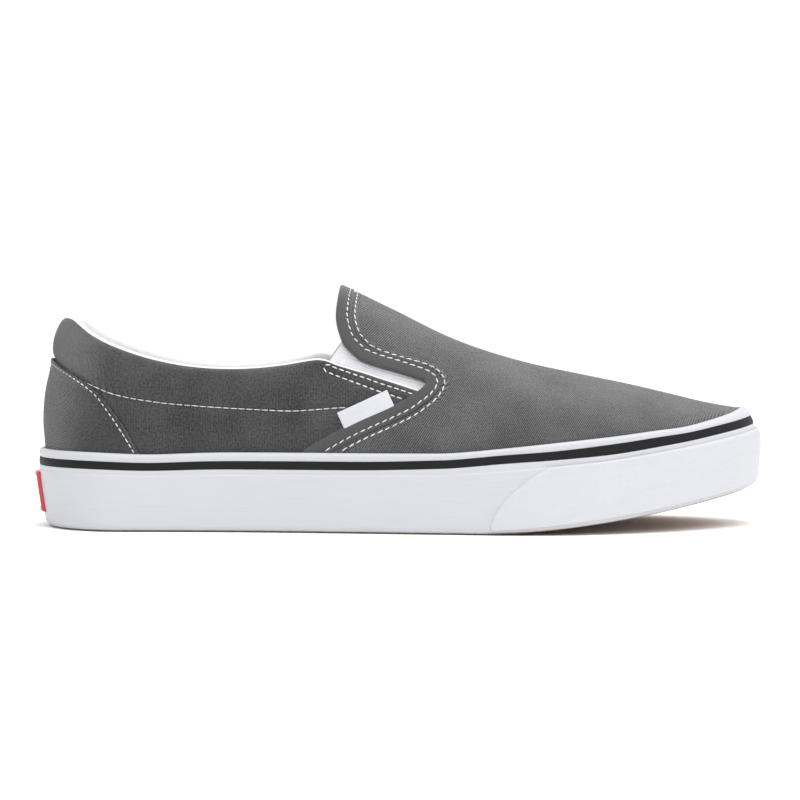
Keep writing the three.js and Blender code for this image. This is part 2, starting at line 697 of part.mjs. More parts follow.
function insole() {
  const under = (x) => bedHeight(x) + GAP;
  return plate([
    { inset: insideUpper() + INSOLE_EDGE, height: under },
    { inset: insideUpper(), height: (x) => under(x) + INSOLE_EDGE },
    { inset: insideUpper(), height: (x) => under(x) + INSOLE - INSOLE_EDGE },
    { inset: insideUpper() + INSOLE_EDGE, height: (x) => under(x) + INSOLE },
    { inset: insideUpper() + DISH_RIM, height: (x) => under(x) + INSOLE - INSOLE_DISH },
  ]);
}

function finish(color, roughness) {
  return new THREE.MeshStandardMaterial({ color, roughness, metalness: 0 });
}

const canvas = finish(0x5a5b5a, 0.95);
const whiteRubber = finish(0xeceef2, 0.6);
const darkRubber = finish(0x232324, 0.55);
const gumRubber = finish(0xa9713f, 0.7);
const elastic = finish(0xe8e8ea, 0.85);
const lining = finish(0xf0f0f0, 0.9);
const patchRubber = finish(0xb2232b, 0.55);

const pieces = {
  outsole: [outsole(), gumRubber],
  foxing: [foxing(), whiteRubber],
  foxing_stripe: [stripe(), darkRubber],
  toe_bumper: [toeBumper(), whiteRubber],
  heel_patch: [heelPatch(), patchRubber],
  upper: [upper(), canvas],
  insole: [insole(), lining],
  gore_lateral: [gore(-1), elastic],
  gore_medial: [gore(1), elastic],
  side_tab: [sideTab(), lining],
};

const shoe = new THREE.Group();
Object.entries(pieces).forEach(([name, [geometry, material]]) => {
  const piece = new THREE.Mesh(geometry, material);
  piece.name = name;
  shoe.add(piece);
});

// The origin lies on the floor under the middle of the whole shoe.
const reach = new THREE.Box3().setFromObject(shoe);
const middle = reach.getCenter(new THREE.Vector3());
shoe.position.set(-middle.x, -middle.y, 0);

export default shoe;
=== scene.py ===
# %% [markdown]
# # Dressing a slip-on sneaker
# A low canvas shoe with a padded collar, two elastic gores and a wrapped rubber sole. The solids
# give its size and place. Here every visible surface gets its cloth, rubber, seams and stitches.
# Lengths are in millimetres in the shoe's own frame, x from the heel wall to the toe, y towards
# the inner side of the foot, z up from the floor, and turn into metres when a mesh is made.

import math

import bpy
import numpy as np
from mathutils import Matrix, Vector


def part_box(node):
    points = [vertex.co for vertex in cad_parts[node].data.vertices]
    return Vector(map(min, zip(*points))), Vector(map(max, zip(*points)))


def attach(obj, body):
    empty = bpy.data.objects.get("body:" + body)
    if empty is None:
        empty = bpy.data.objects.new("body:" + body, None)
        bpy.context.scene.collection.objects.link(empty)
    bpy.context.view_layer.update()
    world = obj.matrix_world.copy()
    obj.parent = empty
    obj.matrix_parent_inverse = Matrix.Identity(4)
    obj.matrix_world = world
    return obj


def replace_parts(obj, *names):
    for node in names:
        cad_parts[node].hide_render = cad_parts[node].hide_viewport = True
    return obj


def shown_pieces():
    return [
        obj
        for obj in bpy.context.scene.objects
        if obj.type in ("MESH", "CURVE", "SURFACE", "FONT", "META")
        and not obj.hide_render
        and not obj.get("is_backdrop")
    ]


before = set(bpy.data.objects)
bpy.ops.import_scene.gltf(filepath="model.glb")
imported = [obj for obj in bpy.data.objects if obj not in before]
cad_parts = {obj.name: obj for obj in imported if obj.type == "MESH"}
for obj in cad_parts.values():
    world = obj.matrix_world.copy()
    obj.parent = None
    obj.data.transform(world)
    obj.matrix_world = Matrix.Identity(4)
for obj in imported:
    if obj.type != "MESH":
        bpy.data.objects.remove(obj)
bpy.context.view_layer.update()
PI = math.pi
SHIFT = np.array([
    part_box("foxing")[0][0] * 1000,
    (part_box("heel_patch")[0][1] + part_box("heel_patch")[1][1]) * 500,
    0.0,
])
print("shoe's own zero lies at", SHIFT.round(2), "mm")

# %% [markdown]
# ## The camera
# The photograph looks square at the outer side from three degrees above the floor, from far
# away, so the sides hardly converge. A long lens at 1.7 m does the same.

# %% Camera
CAMERA_DISTANCE = 1.7
CAMERA_RISE = math.radians(3.0)
FRAME_WIDTH = 0.324
SENSOR = 36.0
AIM_X, AIM_Z = 146.4, 50.7  # the middle of the picture, in the shoe's millimetres
LOOK_AT = Vector(((AIM_X + SHIFT[0]) / 1000, SHIFT[1] / 1000, AIM_Z / 1000))

camera = bpy.data.objects.new("camera", bpy.data.cameras.new("camera"))
bpy.context.scene.collection.objects.link(camera)
camera.data.sensor_width = SENSOR
camera.data.lens = SENSOR * CAMERA_DISTANCE / FRAME_WIDTH
towards = Vector((0.0, -math.cos(CAMERA_RISE), math.sin(CAMERA_RISE)))
camera.location = LOOK_AT + towards * CAMERA_DISTANCE
camera.rotation_euler = (-towards).to_track_quat("-Z", "Y").to_euler()
bpy.context.scene.camera = camera
print("lens", round(camera.data.lens, 1), "mm")

# %% [markdown]
# ## The last
# A shoemaker cuts every pattern from one last. The solids do the same, so their curves are
# repeated here as whole-array functions: a few sections along the shoe with smooth curves
# between them, closed to the ridge of the foot as a superellipse.

# %% Sizes and section tables
LENGTH, BALL, VAMP, COLLAR = 292.5, 103.0, 97.0, 84.2
SPRING, RAND, WALL, OVERLAY, PAD = 16.0, 2.8, 2.2, 0.8, 6.0
HEEL_ROUND, TOE_ROUND, TOE_CROWN = 34.0, 44.0, 2.5
BEAD_HEIGHT, FOXING_CLEAR, HEEL_DIP = 31.8, 0.6, 0.9
HEEL_REACH, TOE_REACH, TOE_LEAN, TOE_TUCK = 55.0, 60.0, 4.5, 1.5
ANKLE_LEAN = 0.12  # how far the sides lean in towards the collar, as a share of the width

LAST_ROWS = np.array([
    # along, half, centre, ridge, ridge centre, fullness
    [0.00, 0.3475, 0.000, 1.155, 0.000, 4.0],
    [0.07, 0.3485, -0.002, 1.155, 0.000, 4.0],
    [0.14, 0.3485, -0.005, 1.155, 0.000, 4.0],
    [0.21, 0.3495, -0.011, 1.150, 0.000, 3.8],
    [0.28, 0.3505, -0.021, 1.125, 0.000, 3.5],
    [0.35, 0.3555, -0.039, 1.075, 0.000, 3.0],
    [0.42, 0.3690, -0.055, 1.000, -0.004, 2.4],
    [0.49, 0.3940, -0.062, 0.903, -0.012, 2.1],
    [0.56, 0.4310, -0.059, 0.799, -0.020, 2.0],
    [0.63, 0.4700, -0.048, 0.719, -0.020, 2.0],
    [0.70, 0.4980, -0.028, 0.664, -0.012, 2.0],
    [0.76, 0.4970, -0.002, 0.625, 0.008, 2.0],
    [0.82, 0.4650, 0.024, 0.587, 0.030, 2.05],
    [0.88, 0.4130, 0.048, 0.549, 0.054, 2.1],
    [0.94, 0.3700, 0.066, 0.511, 0.070, 2.2],
    [1.00, 0.3550, 0.077, 0.480, 0.077, 2.3],
])
HEEL_BACK_ROWS = np.array([
    [0.00, 3.3], [0.12, 1.6], [0.27, 0], [0.37, 0], [0.51, -0.8], [0.60, -0.4],
    [0.67, 0.4], [0.75, 2.0], [0.86, 3.1], [0.94, 4.1], [1.00, 5.2], [1.33, 12],
])
COLLAR_ROWS = np.array([
    [0.009, 1.000], [0.026, 0.996], [0.038, 0.974], [0.060, 0.930], [0.086, 0.890],
    [0.116, 0.853], [0.146, 0.822], [0.201, 0.783], [0.270, 0.768], [0.337, 0.786],
    [0.369, 0.804], [0.386, 0.812], [0.398, 0.808], [0.412, 0.790], [0.433, 0.768],
    [0.455, 0.746], [0.473, 0.725], [0.498, 0.698], [0.524, 0.669], [0.557, 0.638],
    [0.597, 0.610],
])
PAD_STITCH_ROWS = np.array([
    [0.009, 0.790], [0.040, 0.740], [0.077, 0.692], [0.105, 0.655], [0.163, 0.614],
    [0.227, 0.593], [0.310, 0.577], [0.351, 0.572], [0.423, 0.589], [0.597, 0.550],
])
COUNTER_ROWS = np.array([
    [0.009, 0.830], [0.024, 0.797], [0.054, 0.747], [0.075, 0.708], [0.096, 0.648],
    [0.109, 0.589], [0.124, 0.517], [0.135, 0.450], [0.146, 0.379], [0.154, 0.310],
])
VAMP_EDGE_ROWS = np.array([
    [0.00, 0.363], [0.28, 0.364], [0.337, 0.371], [0.393, 0.400], [0.456, 0.439],
    [0.519, 0.486], [0.549, 0.507], [0.575, 0.520], [0.600, 0.531], [0.615, 0.535],
    [0.626, 0.532], [0.638, 0.520], [0.654, 0.503], [0.690, 0.462], [0.707, 0.448],
    [0.738, 0.435], [0.774, 0.424], [0.822, 0.417], [0.877, 0.413], [0.962, 0.415],
    [1.060, 0.422],
])


def smooth_curve(xs, ys):
    """Cubic pieces through (xs, ys); each slope is the mean of its neighbours' chords."""
    chord = np.diff(ys) / np.diff(xs)
    before, after = np.diff(xs)[:-1], np.diff(xs)[1:]
    inner = (chord[:-1] * after + chord[1:] * before) / (before + after)
    slope = np.concatenate([chord[:1], inner, chord[-1:]])

    def read(at):
        x = np.clip(at, xs[0], xs[-1])
        i = np.clip(np.searchsorted(xs, x, side="right") - 1, 0, len(xs) - 2)
        h = xs[i + 1] - xs[i]
        t = (x - xs[i]) / h
        r = 1 - t
        return (r * r * (1 + 2 * t) * ys[i] + t * r * r * h * slope[i]
                + t * t * (3 - 2 * t) * ys[i + 1] - t * t * r * h * slope[i + 1])
    return read


def columns(rows):
    """One curve for each column of a table, over its first column."""
    return [smooth_curve(rows[:, 0], rows[:, k]) for k in range(1, rows.shape[1])]


def side_line(rows, across, up):
    """A line of the side view, read at millimetres and given in millimetres."""
    curve, = columns(rows)
    return lambda at: curve(at / across) * up


half_of, centre_of, ridge_of, ridge_centre_of, fullness_of = columns(LAST_ROWS)
heel_back_of, = columns(HEEL_BACK_ROWS)
collar_edge = side_line(COLLAR_ROWS, LENGTH, COLLAR)
pad_stitches = side_line(PAD_STITCH_ROWS, LENGTH, COLLAR)
counter_top = side_line(COUNTER_ROWS, LENGTH, COLLAR)
vamp_back = side_line(VAMP_EDGE_ROWS, VAMP, LENGTH)  # the seam's x at a height
print("half width at the ball", round(float(half_of(0.7)) * BALL, 1), "mm")

# %% Curves of the sole and the form


def fade(value, low=0.0, high=1.0):
    """0 below low, 1 above high, and a smooth S between them."""
    t = np.clip((value - low) / (high - low), 0, 1)
    return t * t * (3 - 2 * t)


def bump_at(value, centre, reach):
    """A bell of height 1 at centre that dies out over reach."""
    return np.exp(-(((value - centre) / reach) ** 2))


def round_over(distance, radius):
    """A quarter circle: 0 at the edge, 1 from the radius on."""
    return np.sqrt(1 - (1 - np.clip(distance / radius, 0, 1)) ** 2)


def pair(a, b):
    """Two arrays side by side as the last axis, such as the two coordinates of a UV."""
    return np.stack(np.broadcast_arrays(a, b), axis=-1)


def there_and_back(front, back):
    """One closed section: the front's points, then the back's the other way."""
    return np.concatenate([front, back[:, ::-1]], axis=1)


def rise(x, start, power):
    return SPRING * (np.maximum(0, x / LENGTH - start) / (1 - start)) ** power


def ground(x):
    """Height of the sole's underside: flat to the ball, then rising to the toe."""
    return rise(x, 0.61, 1.5)


def bead_top(x):
    """Height of the bead on top of the wrapped wall."""
    return BEAD_HEIGHT + rise(x, 0.56, 1.4) - HEEL_DIP * bump_at(x / LENGTH, 0.155, 0.062)


def wall_height(x, up):
    """Height of a share of the wrapped wall, 0 at its foot and 1 at the bead."""
    foot = ground(x) + FOXING_CLEAR
    return foot + (bead_top(x) - foot) * up


def ridge(x, inset):
    return ridge_of(x / LENGTH) * VAMP - inset


def shoulder(x, inset):
    return np.minimum(bead_top(x), ridge(x, inset) - TOE_CROWN)


# %% Ends and outline


def end_shift(x, z):
    """The heel's back leans by its own profile; the toe leans back above and tucks in below."""
    heel = heel_back_of(z / COLLAR) * (1 - fade(x / HEEL_REACH))
    up = np.clip((z - ground(x)) / (BEAD_HEIGHT - FOXING_CLEAR), 0, 1.1)
    above, below = np.maximum(0, 2 * up - 1), np.maximum(0, 1 - 2 * up)
    toe = TOE_LEAN * above ** 2 + TOE_TUCK * below
    return heel - toe * fade((x - LENGTH + TOE_REACH) / TOE_REACH)


def half_width(x, inset):
    """Half width at x of the outline drawn in by inset; quarter ellipses close both ends."""
    heel = round_over(x - inset, HEEL_ROUND - inset)
    toe = round_over(LENGTH - inset - x, TOE_ROUND - inset)
    return (half_of(x / LENGTH) * BALL - inset) * (heel * toe)


def station(angle, inset):
    """Length x at an angle round the foot, on the outline drawn in by inset."""
    return inset + (LENGTH - 2 * inset) * (1 + np.cos(angle)) / 2


def angle_at(along, inset):
    """The angle round the foot at a share of the length."""
    share = (along * LENGTH - inset) / (LENGTH - 2 * inset)
    return np.arccos(np.clip(2 * share - 1, -1, 1))


def u_turn(front, count):
    """Angles from the outer front round the heel to the inner front."""
    outer = np.linspace(-front, -PI, count)
    return np.concatenate([outer, -outer[::-1][1:]])


# %% Points of the form


def foot_point(x, z, side, up, shrink, inset):
    """Up is the share of the height from shoulder to ridge, shrink that of the width left."""
    ankle = 1 - fade(x / LENGTH, 0.25, 0.45)
    width = half_width(x, RAND + inset) * side * shrink
    centre = centre_of(x / LENGTH) * (1 - up) + ridge_centre_of(x / LENGTH) * up
    y = centre * BALL + width * (1 - ANKLE_LEAN * ankle * up)
    return np.stack([x + end_shift(x, z), y, z], axis=-1)


def place(x, side, z, inset):
    """Point of the form at length x and height z on one side (-1 outer, 1 inner)."""
    x, side, z, inset = np.broadcast_arrays(x, side, z, inset)
    low, top = shoulder(x, inset), ridge(x, inset)
    up = np.clip((z - low) / (top - low), 0, 1)
    full = fullness_of(x / LENGTH)
    return foot_point(x, z, side, up, (1 - up ** full) ** (1 / full), inset)


def form(angle, z, inset):
    """Point of the form at an angle round the foot, 0 at the toe and PI at the heel."""
    angle, z, inset = np.broadcast_arrays(angle, z, inset)
    return place(station(angle, RAND + inset), np.sign(np.sin(angle)), z, inset)


def sole_form(angle, z, inset):
    return form(angle, z, inset - RAND)


print("toe spring", round(float(ground(LENGTH)), 1), "mm, bead at the toe",
      round(float(bead_top(LENGTH)), 1), "mm")


# %% [markdown]
# ## Turning arrays into pieces
# Each piece is a grid of points, one row after the other, joined by quads. A ring joins its
# last row to its first, and a tube closes each row on itself. UVs carry millimetres along the
# cloth, so a weave keeps its scale all over a piece.

# %% Mesh helpers


def dot(a, b):
    return np.einsum("ij,ij->i", a, b)


def unit(v):
    return v / (np.linalg.norm(v, axis=-1, keepdims=True) + 1e-12)


def skin_faces(rows, cols, ring, tube):
    """Quads of a grid; a ring joins its last row to its first, a tube its last column."""
    r = np.arange(rows if ring else rows - 1)[:, None]
    c = np.arange(cols if tube else cols - 1)[None, :]
    r2, c2 = (r + 1) % rows, (c + 1) % cols
    quads = np.stack([r * cols + c, r * cols + c2, r2 * cols + c2, r2 * cols + c], axis=-1)
    return quads.reshape(-1, 4)


def end_caps(rows, cols):
    """Quads that zip each end of a tube shut, for an even number of columns."""
    k = np.arange(cols // 2 - 1)
    cap = np.stack([k, k + 1, cols - 2 - k, cols - 1 - k], axis=-1)
    return cap[:, ::-1], cap + (rows - 1) * cols


def signed_volume(points, faces):
    a, b, c, d = (points[faces[:, k]] for k in range(4))
    return (dot(a, np.cross(b, c)) + dot(a, np.cross(c, d))).sum()


# %% Pieces


def piece_of(name, points, faces, uv, slot="canvas", materials=()):
    """One object from millimetre points and quads, riding on the shoe."""
    mesh = bpy.data.meshes.new(name)
    world = (points + SHIFT) / 1000
    mesh.vertices.add(len(world))
    mesh.vertices.foreach_set("co", world.astype(np.float32).ravel())
    mesh.loops.add(faces.size)
    mesh.loops.foreach_set("vertex_index", faces.astype(np.int32).ravel())
    mesh.polygons.add(len(faces))
    mesh.polygons.foreach_set("loop_start", np.arange(0, faces.size, 4, dtype=np.int32))
    mesh.polygons.foreach_set("use_smooth", np.full(len(faces), True))
    mesh.update(calc_edges=True)
    layer = mesh.uv_layers.new(name="cloth_mm")
    layer.data.foreach_set("uv", uv[faces.ravel()].astype(np.float32).ravel())
    mesh.validate()
    piece = bpy.data.objects.new(name, mesh)
    bpy.context.scene.collection.objects.link(piece)
    for material in materials:
        mesh.materials.append(material)
    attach(piece, "root")
    print(name, "has", len(mesh.polygons), "faces")
    return piece


def strip(name, grid, uv, ring=False, **words):
    """A closed skin from a grid [station, point of the section]; open ends are zipped shut."""
    rows, cols = grid.shape[:2]
    points = grid.reshape(-1, 3)
    faces = skin_faces(rows, cols, ring, True)
    if not ring:
        faces = np.concatenate([faces, *end_caps(rows, cols)])
    if signed_volume(points, faces) < 0:
        faces = faces[:, ::-1]
    return piece_of(name, points, faces, uv.reshape(-1, 2), **words)


# %% Lines and lengths


def spline(points, count):
    """Catmull-Rom curve through points [k, ...] along the first axis, count samples."""
    k = len(points)
    at = np.linspace(0, k - 1, count)
    i = np.clip(at.astype(int), 0, k - 2)
    t = (at - i).reshape((-1,) + (1,) * (points.ndim - 1))
    p0, p1 = points[np.maximum(i - 1, 0)], points[i]
    p2, p3 = points[i + 1], points[np.minimum(i + 2, k - 1)]
    return 0.5 * (2 * p1 + (p2 - p0) * t + (2 * p0 - 5 * p1 + 4 * p2 - p3) * t ** 2
                  + (3 * p1 - p0 - 3 * p2 + p3) * t ** 3)


def arc_length(points):
    return np.concatenate([[0], np.cumsum(np.linalg.norm(np.diff(points, axis=0), axis=1))])


def row_lengths(grid):
    """Length along each row of a grid of points, from the row's first point."""
    steps = np.linalg.norm(np.diff(grid, axis=1), axis=-1)
    return np.concatenate([np.zeros((len(grid), 1)), np.cumsum(steps, axis=1)], axis=1)


def read_along(values, s, at):
    """Each column of values, known at the lengths s, read at the lengths asked for."""
    return np.stack([np.interp(at, s, column) for column in values.T], axis=-1)


def resample(values, count):
    """Points spaced evenly along a polyline."""
    s = arc_length(values)
    return read_along(values, s, np.linspace(0, s[-1], count))


def distance_to(points, line):
    """Distance of each point to the nearest point of a dense line, in blocks."""
    out = [np.linalg.norm(block[:, None] - line[None], axis=-1).min(axis=1)
           for block in np.array_split(points, max(1, len(points) // 4000))]
    return np.concatenate(out)


DETAIL = 1.0


def many(count):
    return max(8, int(count * DETAIL) // 2 * 2)


print("detail", DETAIL)

# %% [markdown]
# ## Materials
# Canvas is a cotton weave: two sets of threads 0.4 mm apart, the vamp as a twill that runs in
# fine diagonals. Threads are drawn by bump and a slight change of colour, and a broad noise
# keeps the dye from looking even. Rubber is smooth with faint streaks from its rollers.
# Patterns read the piece's own UVs in millimetres, or its own place, so they stay on it.

# %% Node helpers


def node_material(name):
    material = bpy.data.materials.new(name)
    material.use_nodes = True
    tree = material.node_tree
    return material, tree, tree.nodes["Principled BSDF"]


def add_node(tree, kind, inputs=(), **settings):
    node = tree.nodes.new(kind)
    for key, value in settings.items():
        setattr(node, key, value)
    for key, value in dict(inputs).items():
        if isinstance(value, bpy.types.NodeSocket):
            tree.links.new(value, node.inputs[key])
        else:
            node.inputs[key].default_value = value
    return node


def math_node(tree, operation, a, b=0.0):
    return add_node(tree, "ShaderNodeMath", {0: a, 1: b}, operation=operation).outputs[0]


def plus(tree, a, b):
    return math_node(tree, "ADD", a, b)


def times(tree, a, b):
    return math_node(tree, "MULTIPLY", a, b)


def noise(tree, vector, scale, detail=3.0, roughness=0.55):
    return add_node(tree, "ShaderNodeTexNoise", {
        "Vector": vector, "Scale": scale, "Detail": detail, "Roughness": roughness}).outputs["Fac"]


# %% Threads and ramps


def threads(tree, u, v, turn, pitch):
    """A wave across the cloth: sin of the distance along a direction, one crest per pitch."""
    along = plus(tree, times(tree, u, 2 * PI * math.cos(turn) / pitch),
                 times(tree, v, 2 * PI * math.sin(turn) / pitch))
    return math_node(tree, "SINE", along)


def ramp(tree, fac, stops):
    node = add_node(tree, "ShaderNodeValToRGB", {"Fac": fac})
    elements = node.color_ramp.elements
    while len(elements) < len(stops):
        elements.new(0.5)
    for element, (position, colour) in zip(elements, stops):
        element.position = position
        element.color = (*colour, 1.0)
    return node.outputs["Color"]


def cloth_axes(tree):
    uv = add_node(tree, "ShaderNodeUVMap", uv_map="cloth_mm").outputs["UV"]
    split = add_node(tree, "ShaderNodeSeparateXYZ", {0: uv})
    return uv, split.outputs[0], split.outputs[1]


def grey(value):
    return (value, value, value)


def set_sockets(node, values):
    for socket, value in values.items():
        node.inputs[socket].default_value = value


def finish_shader(tree, shader, colour, height, strength, depth, values):
    """Joins colour and bump to the shader and sets its plain numbers on its own sockets."""
    bump = add_node(tree, "ShaderNodeBump",
                    {"Height": height, "Strength": strength, "Distance": depth})
    tree.links.new(colour, shader.inputs["Base Color"])
    tree.links.new(bump.outputs[0], shader.inputs["Normal"])
    set_sockets(shader, values)


# %% Canvas


def canvas_material(name, dark, light, twill, pitch, relief, rib_tone, grain):
    """Warp and weft as two waves; a twill adds a diagonal; noise varies dye and thread."""
    material, tree, shader = node_material(name)
    uv, u, v = cloth_axes(tree)
    slub = noise(tree, uv, 0.9, 3.0)
    warp = threads(tree, plus(tree, u, times(tree, slub, 0.3)), v, 0.0, pitch)
    weft = threads(tree, u, v, PI / 2, pitch)
    wander = plus(tree, u, times(tree, slub, 0.15))
    rib = threads(tree, wander, v, twill, 1.6 * pitch)
    weave = plus(tree, times(tree, times(tree, warp, weft), 0.4), rib)
    fleck = noise(tree, uv, grain, 3.0, 0.75)
    height = plus(tree, weave, times(tree, fleck, 4.0))
    dye = noise(tree, uv, 0.045, 3.0)
    flecks = plus(tree, times(tree, fleck, 0.70), times(tree, weave, rib_tone))
    tone = plus(tree, times(tree, dye, 0.30), flecks)
    colour = ramp(tree, tone, [(0.32, grey(dark)), (0.68, grey(light))])
    finish_shader(tree, shader, colour, height, relief, 0.00030, {
        "Roughness": 0.92, "Specular IOR Level": 0.25,
        "Sheen Weight": 0.42, "Sheen Roughness": 0.35})
    return material


TWILL = math.radians(-28)
# the vamp's canvas is painted lighter than the quarter's, as painted light on its upward-facing
# top; its flecks and dye noise are the cloth's own
vamp_canvas_painted_light = canvas_material("vamp_canvas_painted_light", 0.024, 0.165, TWILL, 0.42, 0.65, 0.14, 1.5)
quarter_canvas = canvas_material("quarter_canvas", 0.008, 0.112, 0.0, 0.40, 0.75, 0.06, 1.15)
hem_canvas = canvas_material("hem_canvas", 0.048, 0.088, 0.0, 0.34, 0.25, 0.05, 1.5)
counter_canvas = canvas_material("counter_canvas", 0.010, 0.100, TWILL, 0.42, 0.65, 0.05, 1.3)

# %% White cloth, elastic and thread


def cloth_material(name, colour, pitch, relief, roughness=0.9, shade=0.9):
    material, tree, shader = node_material(name)
    uv, u, v = cloth_axes(tree)
    weave = times(tree, threads(tree, u, v, 0.0, pitch), threads(tree, u, v, PI / 2, pitch))
    height = plus(tree, weave, noise(tree, uv, 1.5, 4.0))
    dark = tuple(c * shade for c in colour)
    tint = ramp(tree, noise(tree, uv, 0.3, 4.0), [(0.3, dark), (0.7, colour)])
    finish_shader(tree, shader, tint, height, relief, 0.0001,
                  {"Roughness": roughness, "Sheen Weight": 0.2})
    return material


lining_cloth = cloth_material("lining_cloth", (0.78, 0.78, 0.79), 0.6, 0.35)
elastic_cloth = cloth_material("elastic_cloth", (0.63, 0.63, 0.66), 0.5, 0.4, 0.8)
tab_cloth = cloth_material("tab_cloth", (0.53, 0.54, 0.575), 0.35, 0.3, 0.75, 0.95)


def thread_material():
    """Twisted cotton: a fine slanting wave along each stitch, off-white and slightly uneven."""
    material, tree, shader = node_material("sewing_thread")
    _, u, v = cloth_axes(tree)
    twist = threads(tree, u, v, math.radians(35), 0.35)
    where = add_node(tree, "ShaderNodeTexCoord").outputs["Object"]
    tint = ramp(tree, noise(tree, where, 900.0, 2.0),
                [(0.35, (0.50, 0.50, 0.48)), (0.65, (0.74, 0.74, 0.72))])
    finish_shader(tree, shader, tint, twist, 0.5, 0.00005, {"Roughness": 0.6})
    return material


sewing_thread = thread_material()

# %% Rubber


def rubber_material(name, colour, streak, roughness=0.42, hatch=0.0, coat=0.0, shine=0.5):
    """Moulded rubber: long faint streaks along the strip, fine pores, and a diamond hatch."""
    material, tree, shader = node_material(name)
    uv, u, v = cloth_axes(tree)
    stretched = add_node(tree, "ShaderNodeCombineXYZ",
                         {0: times(tree, u, 0.05), 1: times(tree, v, 1.5)}).outputs[0]
    lines = noise(tree, stretched, 1.0, 5.0, 0.7)
    pores = noise(tree, uv, 2.5, 4.0, 0.6)
    height = plus(tree, times(tree, lines, streak), times(tree, pores, 0.25))
    if hatch:
        one, other = (threads(tree, u, v, math.radians(turn), hatch) for turn in (35, 145))
        crossing = math_node(tree, "MAXIMUM", one, other)
        height = plus(tree, height, times(tree, crossing, 0.9))
    dark = tuple(c * 0.93 for c in colour)
    tint = ramp(tree, lines, [(0.3, dark), (0.7, colour)])
    gloss = ramp(tree, pores, [(0.3, grey(roughness - 0.06)), (0.7, grey(roughness + 0.08))])
    tree.links.new(gloss, shader.inputs["Roughness"])
    finish_shader(tree, shader, tint, height, 0.35, 0.00012, {
        "Specular IOR Level": shine, "Coat Weight": coat, "Coat Roughness": 0.4})
    return material


white_rubber = rubber_material("white_rubber", (0.505, 0.513, 0.542), 1.0, shine=0.35)
bumper_rubber = rubber_material("bumper_rubber", (0.525, 0.533, 0.563), 0.2, hatch=1.1, shine=0.35)
dark_rubber = rubber_material("dark_rubber", (0.012, 0.012, 0.013), 0.5, 0.50, shine=0.12)
patch_red = rubber_material("patch_red", (0.46, 0.025, 0.035), 0.2, 0.4, coat=0.2)
patch_white = rubber_material("patch_white", (0.80, 0.80, 0.80), 0.2, 0.4, coat=0.2)


def gum_material():
    """Gum rubber reads its place on the sole: small diamond lugs by bump, warm and uneven."""
    material, tree, shader = node_material("gum_rubber")
    where = add_node(tree, "ShaderNodeTexCoord").outputs["Object"]
    split = add_node(tree, "ShaderNodeSeparateXYZ", {0: where})
    x, y = split.outputs[0], split.outputs[1]
    one, other = (threads(tree, x, y, math.radians(turn), 0.0045) for turn in (30, 150))
    lugs = math_node(tree, "MINIMUM", plus(tree, one, 0.75), plus(tree, other, 0.75))
    lugs = add_node(tree, "ShaderNodeMath", {0: lugs, 1: 3.0},
                    operation="MULTIPLY", use_clamp=True).outputs[0]
    grain = noise(tree, where, 700.0, 4.0)
    height = plus(tree, lugs, times(tree, grain, 0.15))
    tint = ramp(tree, noise(tree, where, 60.0, 4.0),
                [(0.3, (0.24, 0.120, 0.055)), (0.7, (0.33, 0.170, 0.080))])
    finish_shader(tree, shader, tint, height, 0.8, 0.0006, {"Roughness": 0.5})
    return material


gum_rubber = gum_material()
print("materials:", len(bpy.data.materials))

# %% [markdown]
# ## The wrapped sidewall
# A vulcanised sole is wrapped in strips: a white bead that grips the canvas, a dark stripe in
# a groove, and a tall white wall that stands a little prouder, all in one ring. The ring is a
# rounded profile carried round the sole. A butt joint shows where a strip's ends meet.

# %% Sidewall and stripe
ring_angles = np.linspace(-PI, PI, many(600), endpoint=False) + 1e-4

WALL_PROFILE = np.array([
    # share of the height, inset
    [0.000, 2.2], [0.004, 1.4], [0.018, 0.7], [0.045, 0.25], [0.10, 0.06], [0.36, 0.0],
    [0.60, 0.0], [0.690, 0.02], [0.708, 0.08], [0.716, 0.25], [0.722, 0.46], [0.735, 0.52],
    [0.755, 0.50], [0.778, 0.52], [0.786, 0.75], [0.790, 1.6], [0.87, 1.6], [0.874, 0.9],
    [0.884, 0.62], [0.920, 0.40], [0.955, 0.42], [0.982, 0.75], [0.996, 1.3], [1.000, 2.1],
    [0.990, 2.7], [0.94, 2.95],
])
LIP, STRIPE_FOOT, STRIPE_HEAD = 0.60, 0.790, 0.873
WALL_TALL = 31.0  # mm, what a height share of 1 stands for
TOE_LIFT = 0.016  # how far the wall's foot covers the outsole at the toe, as a share
JOINT_DEPTH = 0.22
WRAP_ROWS = np.array([
    # along, stripe's foot, stripe's head as shares of the wall, bead's lift in mm
    [0.000, 0.790, 0.888, 0.00], [0.200, 0.790, 0.888, 0.00], [0.365, 0.790, 0.892, 0.05],
    [0.470, 0.797, 0.897, 0.10], [0.560, 0.825, 0.925, 0.35], [0.636, 0.851, 0.948, 0.90],
    [0.717, 0.832, 0.933, 0.95], [0.798, 0.803, 0.922, 0.30], [0.852, 0.799, 0.911, -0.27],
    [0.906, 0.790, 0.887, -1.30], [0.946, 0.790, 0.886, -1.10], [1.000, 0.790, 0.886, -0.30],
])
stripe_foot_of, stripe_head_of, bead_lift_of = columns(WRAP_ROWS)
BUTT_JOINTS = [
    # along, side, half width in mm: where the ends of a strip meet
    (0.174, -1, 0.30), (0.352, -1, 0.25), (0.450, 1, 0.30),
]

# %% Laying the strips round the sole


